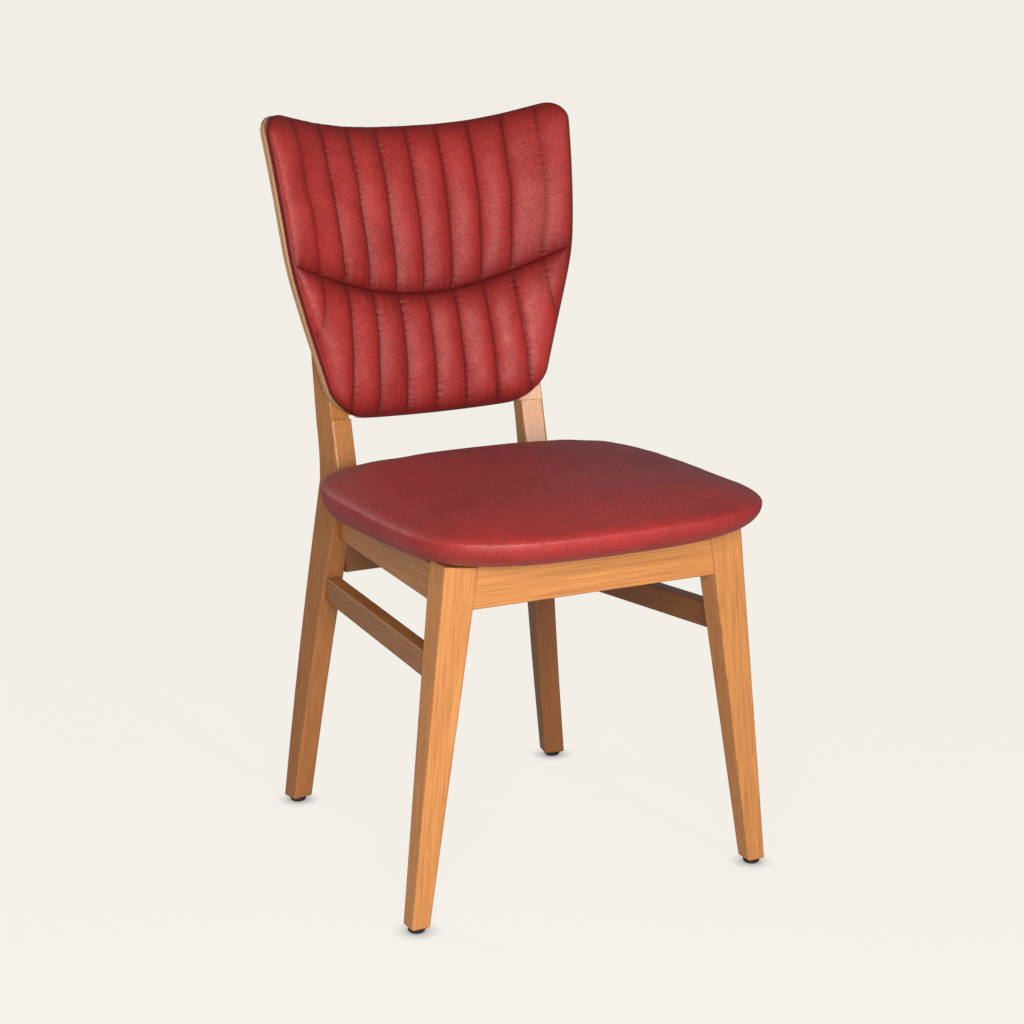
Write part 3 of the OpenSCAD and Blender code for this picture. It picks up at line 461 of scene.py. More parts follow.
def weaveFinish():
    # two sets of threads at right angles, each a row of humps
    cloth = Finish("dustCloth", Specular_IOR_Level=0.2)
    turn = 2 * np.pi / fittings["threadPitch"]
    warp = cloth.add("ShaderNodeMath", {"operation": "SINE"}, {0: cloth.axis("X") * turn})
    weft = cloth.add("ShaderNodeMath", {"operation": "SINE"}, {0: cloth.axis("Y") * turn})
    knit = cloth.span(warp * weft, -1.0, 1.0)
    fuzz = cloth.noise(cloth.place, fittings["fluffScale"], 3)
    colour = cloth.blend(knit * 0.6 + fuzz * 0.3, fittings["black"], fittings["fluff"])
    rough = cloth.span(fuzz, 0.0, 1.0, *fittings["fluffRough"])
    return cloth.end(Base_Color=colour, Roughness=rough, Normal=cloth.bump(knit, fittings["weaveDepth"]))


# Plywood: face veneer with an upright grain, and at the edge a dark and a pale ply in turn
plywood = {
    "pale": shade(206, 146, 88),
    "brown": shade(150, 92, 50),
    "palePly": shade(198, 156, 118),
    "brownPly": shade(128, 86, 54),
    "edgeFibre": shade(150, 104, 66),
    "stretch": (1.0, 0.35, 0.045),
    "fibreScale": 380,
    "fibre": (4, 0.6),
    "figureScale": 16,
    "figure": (3, 0.5, 0.8),
    "bands": 7,
    "toneSpan": (0.28, 0.66),
    "pairs": 2.5,     # of a dark and a pale ply
    "paleFrom": (0.30, 0.62),
    "faces": (0.02, 0.08),     # over this share of the thickness the face gives way to the plies
    "gloss": 0.5,
    "coat": 0.2,
    "coatRough": 0.25,
    "roughSpan": (0.5, 0.38),
    "grainDepth": 0.00005,
}


def plyFinish(name, useMark):
    ply = Finish(name, Specular_IOR_Level=plywood["gloss"], Coat_Weight=plywood["coat"],
                 Coat_Roughness=plywood["coatRough"])
    shrink = ply.add("ShaderNodeMapping", {}, {"Vector": ply.place, "Scale": plywood["stretch"]})
    fibre = ply.noise(shrink, plywood["fibreScale"], *plywood["fibre"])
    bands = ply.fraction(ply.noise(shrink, plywood["figureScale"], *plywood["figure"]) * plywood["bands"])
    tone = ply.span(fibre * 0.8 + bands * 0.12, *plywood["toneSpan"])
    colour = ply.blend(tone, plywood["brown"], plywood["pale"])
    if useMark:
        depth = ply.mark("ply")
        low, high = plywood["faces"]
        step = ply.span(ply.fraction(depth * plywood["pairs"]), *plywood["paleFrom"])
        stripe = ply.blend(step, plywood["brownPly"], plywood["palePly"])
        stripe = ply.blend(ply.span(fibre, 0.35, 0.7) * 0.4, stripe, plywood["edgeFibre"])
        edge = ply.span(depth, low, high) * ply.span(depth, 1 - low, 1 - high)
        colour = ply.blend(edge, colour, stripe)
    rough = ply.span(tone, 0.0, 1.0, *plywood["roughSpan"])
    return ply.end(Base_Color=colour, Roughness=rough, Normal=ply.bump(fibre, plywood["grainDepth"]))


fixings = ["block_screws", "seat_bolts", "seat_tee_nuts", "back_bolts", "back_tee_nuts", "glide_nails"]
glides = ["glide_" + end + "_" + hand for end in ("front", "rear") for hand in ("left", "right")]
dress(fixings, steelFinish())
dress(glides, plasticFinish())
dress(["seat_dust_cover"], weaveFinish())
dress(["seat_board"], plyFinish("seatPly", False))
print("fittings dressed")


# Back shell: s runs up its middle from the bottom edge, u from -1 to 1 across it
back = {
    "foot": 0.43325,       # from the leg fronts to the foot of the shell's front face
    "bottom": 0.498,
    "lean": np.radians(13.0),
    "radius": 0.365,
    "length": 0.364,
    "thickness": 0.008,
    "topPower": 1.6,
    "cornerRise": 0.015,
    "cornerLift": 0.010,
    "waistHalf": 0.1965,
    "waistAt": 0.190,
    "waistSoft": 0.030,
    "steep": 0.290,
    "slight": 0.070,
    "topCorner": 0.024,
    "bottomCorner": 0.032,
    "flareAt": 0.228,
    "flareRadius": 0.940,
    "crowding": 8,
    "spread": 0.08,
    "spreadReach": 0.100,
    "seamAt": 0.151,
    "seamRise": 0.042,
    "easing": 0.0020,
    "easingSteps": 5,
    "rows": 96,
    "columns": 120,
}


def bottomLine(u):
    # the lower edge rises to its corners with the square of u
    return back["cornerLift"] * u ** 2


def topLine(u):
    # the upper edge rises to its corners in half a cosine wave, drawn outwards by a power of u
    return back["length"] + back["cornerRise"] * (1 - np.cos(np.pi * np.abs(u) ** back["topPower"])) / 2


def seamLine(u):
    # the level seam is lowest in the middle and rises over a quarter of a cosine wave
    return back["seamAt"] + back["seamRise"] * (1 - np.cos(np.pi / 2 * u))


def cornerCut(radius, depth):
    # how far a round corner draws a side in, at a depth from its end
    return radius - np.sqrt(np.clip(radius ** 2 - np.clip(radius - depth, 0, None) ** 2, 0, None))


def spreading(u, s):
    # the sewn channels spread a little above and below the level seam
    return 1 + back["spread"] * np.clip(np.abs(s - seamLine(u)) / back["spreadReach"], 0, 1)


def reachBack(u, s, inset):
    # half the width is two slopes that meet softly at the waist, less the rounding of the corners
    t = s - back["waistAt"]
    turn = (back["steep"] - back["slight"]) / 2 * np.sqrt(t ** 2 + back["waistSoft"] ** 2)
    half = back["waistHalf"] + (back["steep"] + back["slight"]) / 2 * t - turn - inset
    cut = cornerCut(back["topCorner"], topLine(u) - inset - s)
    return half - cut - cornerCut(back["bottomCorner"], s - bottomLine(u) - inset)


def acrossBack(u, s, inset):
    # x grows evenly with u in the middle, and the columns crowd together towards the outline
    flat = (back["waistHalf"] - inset) * spreading(u, s)
    crowd = (flat / reachBack(u, s, inset)) ** back["crowding"] - 1
    return flat * u / (1 + crowd * np.abs(u) ** back["crowding"]) ** (1 / back["crowding"])


def columnAt(x, s, inset):
    # the u of a place that is known by its x: acrossBack turned round, and sharpened in four rounds
    u = x / back["waistHalf"]
    for _ in range(4):
        flat = (back["waistHalf"] - inset) * spreading(u, s)
        crowd = (flat / reachBack(u, s, inset)) ** back["crowding"] - 1
        far = np.clip(flat ** back["crowding"] - crowd * np.abs(x) ** back["crowding"], 1e-30, None)
        u = np.clip(x / far ** (1 / back["crowding"]), -1, 1)
    return u


def onBack(x, s, h):
    # a point h in front of the bent face: the bend is a cylinder about a leaning line in front of
    # it, and over flareAt the face falls back with the square of the height
    x, s, h = np.broadcast_arrays(x, s, h)
    turn = np.arcsin(x / back["radius"])
    reach = back["radius"] - h
    flare = np.clip(s - back["flareAt"], 0, None) ** 2 / (2 * back["flareRadius"])
    out = reach * np.cos(turn) - back["radius"] + flare
    y = chair["legFronts"] + back["foot"] + s * np.sin(back["lean"]) + out * np.cos(back["lean"])
    z = back["bottom"] + s * np.cos(back["lean"]) - out * np.sin(back["lean"])
    return np.stack([reach * np.sin(turn), y, z], axis=-1)


def withMarks(points, *values):
    # further values stand behind x, y and z
    columns = [np.broadcast_to(value, points.shape[:2])[..., None] for value in values]
    return np.concatenate([points] + columns, axis=-1)


def shellLayer(inset, h):
    # one layer of the shell, h in front of the face: rows and columns crowd at the edges by a cosine
    u = np.sin(np.linspace(-np.pi / 2, np.pi / 2, back["columns"]))[None, :]
    t = (0.5 - 0.5 * np.cos(np.linspace(0, np.pi, back["rows"])))[:, None]
    s = mix(bottomLine(u) + inset, topLine(u) - inset, t)
    return withMarks(onBack(acrossBack(u, s, inset), s, h), -h / back["thickness"])


def makeShell():
    # both edges are eased by a quarter turn
    r = back["easing"]
    quarter = np.linspace(0, np.pi / 2, back["easingSteps"])
    front = [shellLayer(r * (1 - np.sin(a)), -r * (1 - np.cos(a))) for a in quarter]
    rear = [shellLayer(r * (1 - np.sin(a)), -back["thickness"] + r * (1 - np.cos(a))) for a in quarter[::-1]]
    points, faces = closedSlab(front + rear)
    shell = makePiece("backShell", points, faces, plyFinish("shellPly", True), "shell_plywood", ["ply"])
    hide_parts("back_shell")
    print("shell made:", len(points), "points")


makeShell()


# Back pad: two leather panels that meet at a level seam, each sewn in upright channels
pad = {
    "inset": 0.001,
    "rim": 0.007,
    "pinch": 0.011,
    "gap": 0.0008,
    "channels": 8,
    "channel": 0.040,
    "depth": 0.0070,
    "outerDepth": 0.42,     # share of the depth that is left at the outer seams
    "clear": 0.0003,        # of the shell
    "rollOut": 0.0010,
    "rollSteps": 6,
    "channelColumns": 22,
    "wingColumns": 20,
    "rows": 150,
    "rowCrowding": 0.75,
    "bulgePowers": (2.4, 0.58),
    "wingPower": 12,
    "humpPower": 0.8,
    "wingRise": 3,          # beyond an outer seam the leather is up again after a third of a channel
    "endDepth": 0.30,       # share of the depth that is left at a panel's ends
}
# length, height and spread of direction of the small ripples, and how far the shade of a fold goes
gathers = {
    "pleats": {"length": 0.0075, "height": 0.00026, "spread": 0.5, "squeeze": 0.25, "crown": 0.45},
    "fans": {"length": 0.011, "height": 0.0006, "spread": 0.45, "squeeze": 0.35, "reach": 0.016},
    "stuffing": {"length": 0.075, "height": 0.0008, "spread": np.pi},
    "shade": 0.9,
    "seamShade": 0.30,
    "endShade": 0.018,
    "endPower": 1.3,
}
panels = {
    "upper": {"low": pad["pinch"] - pad["rim"], "high": 0.0, "bulge": 0.0135, "seed": 11},
    "lower": {"low": 0.0, "high": pad["pinch"] - pad["rim"], "bulge": 0.017, "seed": 23},
}
outerSeam = pad["channels"] / 2 * pad["channel"] / (back["waistHalf"] - pad["inset"])


def panelEnds(which, u, grow=0.0):
    # where a panel begins and ends along s: it lies between the seam and the shell's edge
    if which == "upper":
        return seamLine(u) + pad["gap"] / 2 - grow, topLine(u) - pad["inset"] + grow
    return bottomLine(u) + pad["inset"] - grow, seamLine(u) - pad["gap"] / 2 + grow


def padBase(which, x, reach, t):
    # rim thickness, and inside the rim a slope between the two ends and a long flat-topped bulge
    panel = panels[which]
    flat, rise = pad["bulgePowers"]
    full = np.clip(1 - np.abs(2 * t - 1) ** flat, 0, None) ** rise
    wing = np.sqrt(np.clip(1 - (np.abs(x) / reach) ** pad["wingPower"], 0, None))
    return pad["rim"] + wing * (mix(panel["low"], panel["high"], t) + panel["bulge"] * full), full, wing


def crownShape(q):
    # q counts channels from the middle seam: between two seams the leather stands up like a rounded
    # hump, and beyond the outer seams it rises once and stays up over the wings
    last = pad["channels"] / 2
    hump = np.abs(np.sin(np.pi * q)) ** pad["humpPower"]
    rise = np.sin(np.pi / 2 * np.clip(pad["wingRise"] * (q - last), 0, 1)) ** pad["humpPower"]
    return np.where(q > last, rise, hump)


def panelGrid():
    # u crowds at every sewn seam and at the outline, t at both ends of the panel
    half = (1 - np.cos(np.linspace(0, np.pi, pad["channelColumns"] + 1)[1:])) / 2
    count = pad["channels"] // 2
    channels = np.concatenate([(k + half) / count * outerSeam for k in range(count)])
    wing = outerSeam + (1 - outerSeam) * np.sin(np.linspace(0, np.pi / 2, pad["wingColumns"] + 1)[1:])
    right = np.concatenate([channels, wing])
    u = np.concatenate([-right[::-1], [0.0], right])[None, :]
    ends = np.linspace(0, np.pi, pad["rows"])
    t = mix(ends / np.pi, 0.5 - 0.5 * np.cos(ends), pad["rowCrowding"])[:, None]
    return u, t


def gathered(which, u, x, s, crown, full):
    # short pleats across the seams, fans from the panel's ends, and uneven stuffing
    pleats, fans, stuffing = gathers["pleats"], gathers["fans"], gathers["stuffing"]
    seed = panels[which]["seed"]
    low, high = panelEnds(which, u)
    nearSeam = np.exp(-(crown / pleats["crown"]) ** 2) * (np.abs(u) < 0.97)
    nearEnds = np.exp(-(s - low) / fans["reach"]) + np.exp(-(high - s) / fans["reach"])
    cross = ripples(x * pleats["squeeze"], s, pleats["length"], np.pi / 2, pleats["spread"], seed)
    fan = ripples(x, s * fans["squeeze"], fans["length"], 0.0, fans["spread"], seed + 1)
    lumps = ripples(x, s, stuffing["length"], 0.0, stuffing["spread"], seed + 2)
    return (pleats["height"] * nearSeam * cross + fans["height"] * nearEnds * fan
            + stuffing["height"] * np.sqrt(full) * lumps)


def panelSkin(which, u, t):
    # the height over the shell is the base, the humps of the channels, and the gathers, all of them
    # lower towards the outline; it goes with its place, with the crown mark, and with the mark for folds and
    # painted shade
    low, high = panelEnds(which, u)
    s = mix(low, high, t)
    x = acrossBack(u, s, pad["inset"])
    base, full, wing = padBase(which, x, reachBack(u, s, pad["inset"]), t)
    q = np.abs(x) / spreading(u, s) / pad["channel"]
    crown = crownShape(q)
    outer = mix(1.0, pad["outerDepth"], smooth(2.5, 4.0, q))
    deep = pad["depth"] * outer * wing * mix(pad["endDepth"], 1.0, np.sqrt(full))
    # painted shade: dark along the grooves of the seams and at both ends of the panel
    seam = np.exp(-(crown / gathers["seamShade"]) ** 2) * mix(0.5, 1.0, outer)
    near = [np.clip(distance, 0, None) / gathers["endShade"] for distance in (s - low, high - s)]
    ends = sum(np.exp(-n ** gathers["endPower"]) for n in near)
    fold = np.clip(gathers["shade"] * (seam + ends), 0, 1)
    h = base + deep * crown + wing * gathered(which, u, x, s, crown, full)
    return x, s, h, crown * np.sqrt(full), fold


def makePanel(which):
    u, t = panelGrid()
    x, s, h, crown, fold = panelSkin(which, u, t)
    layers = [withMarks(onBack(x, s, h), crown, fold)]
    for turn in np.linspace(0, np.pi, pad["rollSteps"] + 1)[1:]:
        # the edge rolls over to the shell in a half turn
        grow = pad["rollOut"] * np.sin(turn)
        low, high = panelEnds(which, u, grow)
        edgeS = mix(low, high, t)
        edgeH = mix(pad["clear"], h, (1 + np.cos(turn)) / 2)
        edgeX = acrossBack(u, edgeS, pad["inset"] - grow)
        # the rolled edge is painted wholly in the shade colour
        layers.append(withMarks(onBack(edgeX, edgeS, edgeH), crown * 0, 1.0))
    points, faces = closedSlab(layers)
    name = "backPad" + which.capitalize()
    panel = makePiece(name, points, faces, leathers["back"], "leather", ["crown", "fold"])
    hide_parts("back_cover_" + which, "back_foam_" + which)
    print(name, "made:", len(points), "points")


for which in panels:
    makePanel(which)


# Thread: one short stitch after another down each seam. It lies on the outer seams and is sunk in
# the grooves of the middle ones
thread = {
    "pitch": 0.0042,
    "length": 0.0027,
    "thickness": 0.0008,
    "lift": 0.0005,
    "sunk": -0.0001,
    "sunkSeams": 2,     # so many on either side of the middle seam
    "margin": 0.004,
    "sides": 6,
    "stations": ((-1.0, 0.25), (-0.55, 1.0), (0.55, 1.0), (1.0, 0.25)),     # a spindle's places and girths
    "step": 0.0005,
    "out": 0.001,
    "red": shade(124, 26, 26),
    "dark": shade(92, 12, 14),
    "layScale": 1500,
    "layRough": (0.6, 0.8),
    "layDepth": 0.00008,
}


def threadFinish():
    cord = Finish("seamThread", Specular_IOR_Level=0.1)
    lay = cord.noise(cord.place, thread["layScale"], 2)
    colour = cord.blend(lay, thread["dark"], thread["red"])
    rough = cord.span(lay, 0.0, 1.0, *thread["layRough"])
    return cord.end(Base_Color=colour, Roughness=rough, Normal=cord.bump(lay, thread["layDepth"]))


def seamPlaces(which, k):
    # the middle of each stitch of a seam, the way that the seam runs there, and the way out
    s = np.arange(bottomLine(0.0), topLine(1.0), thread["pitch"])
    x = k * pad["channel"] * spreading(columnAt(k * pad["channel"], s, pad["inset"]), s)
    u = columnAt(x, s, pad["inset"])
    low, high = panelEnds(which, u)
    keep = (s > low + thread["margin"]) & (s < high - thread["margin"])
    keep &= np.abs(x) < reachBack(u, s, pad["inset"]) - thread["margin"]
    u, t = u[keep], ((s - low) / (high - low))[keep]
    step = thread["step"] / (high - low)[keep]
    here, after = (panelSkin(which, u, t + d)[:3] for d in (0, step))
    lift = thread["lift"] if abs(k) > thread["sunkSeams"] else thread["sunk"]
    spot = onBack(here[0], here[1], here[2] + lift)
    ahead = onBack(after[0], after[1], after[2] + lift)
    above = onBack(here[0], here[1], here[2] + thread["out"])
    return spot, ahead - spot, above - spot


def makeStitches():
    # a stitch is a spindle: points round a line, thin at both ends, laid along the seam
    sides = thread["sides"]
    around = np.linspace(0, 2 * np.pi, sides + 1)[:-1]
    stations, girth = np.array(thread["stations"]).T
    lengths = np.repeat(stations, sides) * thread["length"] / 2
    outs = (girth[:, None] * np.cos(around)).ravel() * thread["thickness"] / 2
    overs = (girth[:, None] * np.sin(around)).ravel() * thread["thickness"] / 2
    half = pad["channels"] // 2
    seams = [seamPlaces(which, k) for which in panels for k in range(-half, half + 1)]
    place, march, lift = (np.concatenate(rows) for rows in zip(*seams))
    march /= np.linalg.norm(march, axis=1, keepdims=True)
    lift -= march * (lift * march).sum(axis=1, keepdims=True)
    lift /= np.linalg.norm(lift, axis=1, keepdims=True)
    over = np.cross(march, lift)
    points = (place[:, None] + march[:, None] * lengths[:, None] + lift[:, None] * outs[:, None]
              + over[:, None] * overs[:, None])
    size = len(lengths)
    quads = gridQuads(len(stations), sides, wrap=True)
    caps = np.stack([np.arange(sides)[::-1], np.arange(sides) + size - sides])
    first = (np.arange(len(place)) * size)[:, None, None]
    faces = [(quads + first).reshape(-1, 4), (caps + first).reshape(-1, sides)]
    makePiece("backStitches", points.reshape(-1, 3), faces, threadFinish(), "leather")
    print("stitches made:", len(place))


makeStitches()


# Seat cushion: a dome over a board. Heights are over the seat frame, in its own sloping plane
seat = {
    "half": 0.226,
    "front": -0.0595,
    "rear": 0.3695,
    "widest": 0.47,
    "bow": 0.023,
    "frontSquare": 4.6,
    "rearSquare": 3.9,
    "widestHeight": 0.0325,
    "rearRise": 0.015,
    "roll": 0.009,
    "crown": 0.0118,
    "crownPower": 3,
    "edgePower": 20,
    "tuck": 0.053,
    "rearTuck": 0.2,
    "hem": 0.014,
    "recess": 0.0018,
    "columns": 320,
    "topRings": (0.03, 0.78, 30),     # the first q, the last one, and how many
    "rollFrom": 0.80,
    "rollRings": 34,
    "underRings": 30,
    "hemEdge": (0.0006, 0.0004),
    "floorRings": ((0.8, 0.05), (0.5, 0.03), (0.2, 0.0)),     # q and inset
    "start": 0.003,
    "blankColumns": 160,
    "voxel": 0.0055,
    "heldUnder": 0.034,
    "cap": 0.0025,
    "steps": 20,
    "neighbours": 60,
    "blur": 0.016,
    "stillUnder": (0.002, 0.02),     # the skin starts to move and moves in full over these heights
}
# the leather of the blank that swells, as the simulation takes it
cloth = {
    "quality": 6,
    "mass": 0.35,
    "tension_stiffness": 25,
    "compression_stiffness": 25,
    "bending_stiffness": 2,
    "use_pressure": True,
    "uniform_pressure_force": 1.0,
    "vertex_group_mass": "held",
}


def thickerAt(y):
    # how much thicker the cushion is at y than at its front edge
    front = seat["front"] - seat["bow"]
    return 1 + seat["rearRise"] / seat["widestHeight"] * (y - front) / (seat["rear"] - front)


def seatOutline(q, inset, angle):
    # two half superellipses that share their widest line, the front one bowed; q scales them and
    # inset draws them in, less at the rear
    cosine, sine = np.cos(angle), np.sin(angle)
    power = np.where(sine < 0, seat["frontSquare"], seat["rearSquare"])
    ux = np.sign(cosine) * np.abs(cosine) ** (2 / power)
    uy = np.sign(sine) * np.abs(sine) ** (2 / power)
    widest = mix(seat["front"], seat["rear"], seat["widest"])
    reach = np.where(uy < 0, widest - seat["front"], seat["rear"] - widest)
    draw = np.where(uy < 0, inset, inset * seat["rearTuck"])
    sideDraw = np.where(uy < 0, inset, inset * (1 - (1 - seat["rearTuck"]) * uy ** 4))
    bow = np.where(uy < 0, -seat["bow"] * q * (1 - ux ** 2) * uy, 0)
    return (seat["half"] * q - sideDraw) * ux, widest + (reach * q - draw) * uy - bow


def onSeat(x, y, h):
    # a point h over the seat frame's plane, which falls to the back
    fall = np.radians(chair["seatFall"])
    depth = chair["legFronts"] + y * np.cos(fall) + h * np.sin(fall)
    height = chair["frameTop"] - y * np.sin(fall) + h * np.cos(fall)
    return np.stack(np.broadcast_arrays(x, depth, height), axis=-1)


def seatProfile(less, closed):
    # q, inset, height and a further rise down one side, from the crown to the hem: a low dome with a
    # tight roll at its edge, the root of 1 - q^20, and a quarter ellipse that turns in to the hem
    half = seat["edgePower"] / 2
    tight = np.cos(np.linspace(np.arccos(seat["rollFrom"] ** half), 0, seat["rollRings"])) ** (1 / half)
    q = np.concatenate([np.linspace(*seat["topRings"]), tight])
    roll = np.sqrt(np.clip(1 - q ** seat["edgePower"], 0, 1))
    dome = seat["widestHeight"] + seat["roll"] * roll + seat["crown"] * (1 - q ** seat["crownPower"])
    top = np.stack([q * (1 - less / seat["half"]), q * 0, dome, -less * roll])
    a = np.linspace(np.pi / 2, 0, seat["underRings"])[1:]
    under = np.stack([a * 0 + 1 - less / seat["half"], seat["tuck"] * (1 - np.sin(a)),
                      seat["widestHeight"] * (1 - np.cos(a)), less * np.cos(a)])
    hemIn = seat["tuck"] + seat["hem"]
    lift = less if closed else seat["recess"]
    floor = [[1, hemIn, 0, lift]] + [[ring, draw, 0, lift] for ring, draw in seat["floorRings"]]
    edge, rise = seat["hemEdge"]
    hem = [[1, mix(seat["tuck"], hemIn, 0.5), 0, 0], [1, hemIn - edge, 0, 0], [1, hemIn, 0, rise]]
    rings = floor if closed else hem + floor
    return np.concatenate([top, under, np.array(rings).T], axis=1)


def seatSkin(less, closed, columns):
    # the profile carried round the outline, with a fan of faces at its crown and one below; less is
    # how much smaller the whole is
    angle = np.linspace(0, 2 * np.pi, columns, endpoint=False)[None, :]
    profile = seatProfile(less, closed)
    q, inset, h, more = (row[:, None] for row in profile)
    x, y = seatOutline(q, inset, angle)
    rows = onSeat(x, y, h * thickerAt(y) + more)
    middle = mix(seat["front"], seat["rear"], seat["widest"])
    tall = (seat["widestHeight"] + seat["roll"] + seat["crown"]) * thickerAt(middle) - less
    crown, floor = onSeat(0.0, middle, tall), onSeat(0.0, middle, profile[3, -1])
    count = rows.shape[0] * columns
    points = np.concatenate([rows.reshape(-1, 3), [crown, floor]])
    ring = np.arange(columns)
    after = np.roll(ring, -1)
    last = count - columns
    cap = np.stack([ring * 0 + count, ring, after], axis=-1)
    base = np.stack([ring * 0 + count + 1, last + after, last + ring], axis=-1)
    sides = gridQuads(rows.shape[0], columns, wrap=True)[:, ::-1]
    return points, [sides, cap, base], np.broadcast_to(h, (rows.shape[0], columns)).ravel()


def bakedMesh(piece):
    # the piece's mesh as its modifiers leave it
    graph = bpy.context.evaluated_depsgraph_get()
    return bpy.data.meshes.new_from_object(piece.evaluated_get(graph))


def meshPoints(mesh):
    flat = np.empty(len(mesh.vertices) * 3, dtype=np.float32)
    mesh.vertices.foreach_get("co", flat)
    return flat.reshape(-1, 3).astype(float)


def swollenSeat():
    # a slightly smaller copy, remeshed evenly, swells under pressure while its sides are held
    points, faces, _ = seatSkin(seat["start"], True, seat["blankColumns"])
    blank = makePiece("seatBlank", points, faces, None, None)
    remesh = blank.modifiers.new("even", "REMESH")
    remesh.mode = "VOXEL"
    remesh.voxel_size = seat["voxel"]
    blank.data = bakedMesh(blank)
    blank.modifiers.clear()
    rest = meshPoints(blank.data)
    fall = np.radians(chair["seatFall"])
    up, deep = rest[:, 2] - chair["frameTop"], rest[:, 1] - chair["legFronts"]
    height = (up * np.cos(fall) + deep * np.sin(fall)) / thickerAt(deep * np.cos(fall) - up * np.sin(fall))
    held = blank.vertex_groups.new(name=cloth["vertex_group_mass"])
    held.add(np.flatnonzero(height < seat["heldUnder"]).tolist(), 1.0, "REPLACE")
    hide = blank.modifiers.new("leather", "CLOTH")
    for name, value in cloth.items():
        setattr(hide.settings, name, value)
    hide.settings.effector_weights.gravity = 0
    hide.point_cache.frame_end = seat["steps"]
    for step in range(1, seat["steps"] + 1):
        bpy.context.scene.frame_set(step)
    swollen = bakedMesh(blank)
    moved = meshPoints(swollen) - rest
    bpy.context.scene.frame_set(1)
    bpy.data.objects.remove(blank)
    far = np.linalg.norm(moved, axis=1, keepdims=True)
    print("seat swelled by up to", round(float(far.max()) * 1000, 1), "mm, before the cap")
    return rest, moved * np.minimum(1, seat["cap"] / np.maximum(far, 1e-9))


def carriedMove(points, rest, moved):
    # each point moves as the points of the blank round it do, the near ones most
    tree = KDTree(len(rest))
    for k, place in enumerate(rest):
        tree.insert(place, k)
    tree.balance()
    near = [tree.find_n(point, seat["neighbours"]) for point in points]
    which = np.array([[hit[1] for hit in hits] for hits in near])
    away = np.array([[hit[2] for hit in hits] for hits in near])
    weight = np.exp(-(away / seat["blur"]) ** 2) + 1e-9
    return (moved[which] * weight[..., None]).sum(axis=1) / weight.sum(axis=1, keepdims=True)


def makeSeat():
    points, faces, heights = seatSkin(0.0, False, seat["columns"])
    inner = seatSkin(seat["start"], False, seat["columns"])[0]
    level = np.append(smooth(*seat["stillUnder"], heights), [1, 0])[:, None]
    points = points + level * carriedMove(inner, *swollenSeat())
    cushion = makePiece("seatCushion", points, faces, leathers["seat"], "leather")
    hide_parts("seat_cover", "seat_foam")
    print("seat made:", len(points), "points")


makeSeat()


# Stage: a pale floor that runs to the horizon, a broad low lamp from the left, a small one in front
# for the gloss, and one behind
stage = {
    "cream": shade(245, 242, 234),
    "shadow": shade(120, 120, 126),
    "shadowReach": 0.018,
    "floorRadius": 60.0,
    "floorSides": 96,
    "floorGlow": 0.95,
    "floorShare": 0.4,
    "sky": (0.98, 0.98, 1.0, 1),
    "skyStrength": 0.22,
    "lampColour": (1.0, 0.98, 0.95),
    "lampsAim": (0.0, 0.0, 0.45),
}


def addNode(tree, kind, **sockets):
    node = tree.nodes.new(kind)
    for socket, value in sockets.items():
        node.inputs[socket].default_value = value
    return node


def seenAs(tree, lighting, seen, outType):
    # what the camera sees differs from what lights the piece
    path = addNode(tree, "ShaderNodeLightPath")
    both = addNode(tree, "ShaderNodeMixShader")
    out = next(node for node in tree.nodes if node.type == outType)
    tree.links.new(path.outputs["Is Camera Ray"], both.inputs[0])
    tree.links.new(lighting.outputs[0], both.inputs[1])
    tree.links.new(seen.outputs[0], both.inputs[2])
    tree.links.new(both.outputs[0], out.inputs["Surface"])


def makeFloor():
    # the floor is seen bright, with a little shadow only where something nearly touches it, and it
    # throws back less light than it shows
    sweep = bpy.data.materials.new("paleFloor")
    sweep.use_nodes = True
    tree = sweep.node_tree
    shader = next(node for node in tree.nodes if node.type == "BSDF_PRINCIPLED")
    dim = [c * (1 - stage["floorGlow"]) for c in stage["cream"][:3]]
    shader.inputs["Base Color"].default_value = (*dim, 1)
    shader.inputs["Roughness"].default_value = 1.0
    shader.inputs["Specular IOR Level"].default_value = 0.0
    shader.inputs["Emission Strength"].default_value = stage["floorGlow"]
    near = addNode(tree, "ShaderNodeAmbientOcclusion", Distance=stage["shadowReach"])
    glow = addNode(tree, "ShaderNodeMix")
    glow.data_type = "RGBA"
    glow.inputs[6].default_value = stage["shadow"]
    glow.inputs[7].default_value = stage["cream"]
    tree.links.new(near.outputs["AO"], glow.inputs[0])
    tree.links.new(glow.outputs[2], shader.inputs["Emission Color"])
    dull = addNode(tree, "ShaderNodeBsdfDiffuse", Color=(*[stage["floorShare"]] * 3, 1))
    seenAs(tree, dull, shader, "OUTPUT_MATERIAL")
    angle = np.linspace(0, 2 * np.pi, stage["floorSides"], endpoint=False)
    rim = np.stack([np.cos(angle), np.sin(angle), angle * 0], axis=-1) * stage["floorRadius"]
    mesh = bpy.data.meshes.new("floor")
    mesh.from_pydata(rim.tolist(), [], [list(range(len(rim)))])
    mesh.materials.append(sweep)
    floor = bpy.data.objects.new("floor", mesh)
    bpy.context.scene.collection.objects.link(floor)


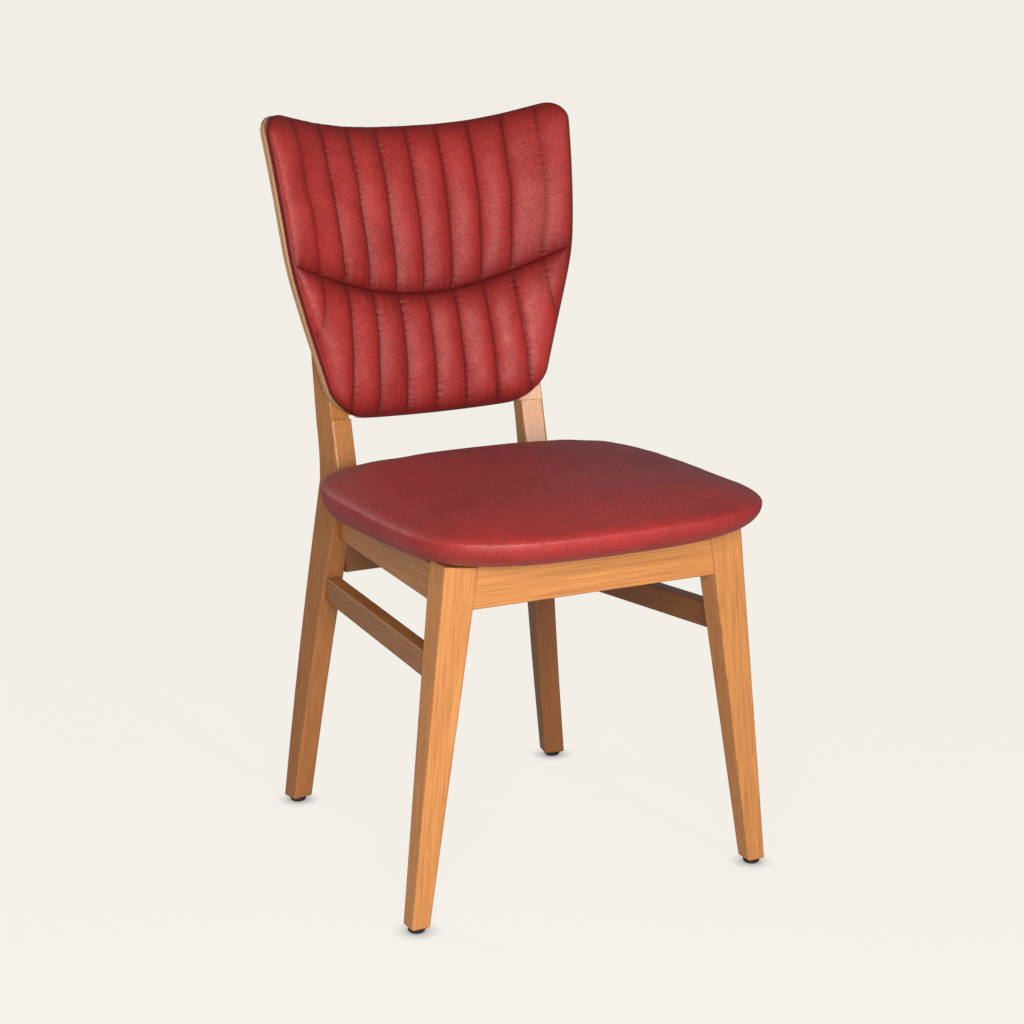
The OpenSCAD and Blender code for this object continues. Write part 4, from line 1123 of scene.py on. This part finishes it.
def makeWorld():
    # the sky is seen as bright as the far floor, so that no horizon shows
    world = bpy.data.worlds.new("studio")
    bpy.context.scene.world = world
    world.use_nodes = True
    tree = world.node_tree
    sky = next(node for node in tree.nodes if node.type == "BACKGROUND")
    sky.inputs["Color"].default_value = stage["sky"]
    sky.inputs["Strength"].default_value = stage["skyStrength"]
    bright = mix(stage["skyStrength"], 1.0, stage["floorGlow"])
    seen = addNode(tree, "ShaderNodeBackground", Color=stage["cream"], Strength=bright)
    seenAs(tree, sky, seen, "OUTPUT_WORLD")


lamps = {
    "key": {"place": (-0.95, -2.05, 0.98), "size": 1.1, "watts": 60},
    "gloss": {"place": (0.45, -3.6, 1.45), "size": 0.5, "watts": 36},
    "rear": {"place": (-1.7, 2.5, 1.8), "size": 1.4, "watts": 24},
}


def makeLamps():
    target = Vector(stage["lampsAim"])
    for name, lamp in lamps.items():
        light = bpy.data.lights.new(name, "AREA")
        light.shape = "SQUARE"
        light.size = lamp["size"]
        light.energy = lamp["watts"]
        light.color = stage["lampColour"]
        holder = bpy.data.objects.new(name, light)
        holder.location = lamp["place"]
        holder.rotation_euler = (target - holder.location).to_track_quat("-Z", "Y").to_euler()
        bpy.context.scene.collection.objects.link(holder)


# the viewpoint was solved from the photograph's frame corners and lines
view = {
    "azimuth": np.radians(-27.20),
    "elevation": np.radians(14.54),
    "distance": 2.9677,
    "target": (-0.00005, 0.21173, 0.41834),
    "lens": 86.87,
    "sensor": 36.0,
}


def makeCamera():
    lens = bpy.data.cameras.new("camera")
    lens.lens = view["lens"]
    lens.sensor_width = view["sensor"]
    holder = bpy.data.objects.new("camera", lens)
    bpy.context.scene.collection.objects.link(holder)
    rise, turn = view["elevation"], view["azimuth"]
    away = Vector((np.sin(turn) * np.cos(rise), -np.cos(turn) * np.cos(rise), np.sin(rise)))
    aim = Vector(view["target"]) + Vector((0, chair["legFronts"], 0))
    holder.location = aim + away * view["distance"]
    holder.rotation_euler = away.to_track_quat("Z", "Y").to_euler()
    bpy.context.scene.camera = holder


makeFloor()
makeWorld()
makeLamps()
makeCamera()
bpy.context.scene.view_settings.view_transform = "Standard"
bpy.context.scene.view_settings.look = "None"
print("stage set")
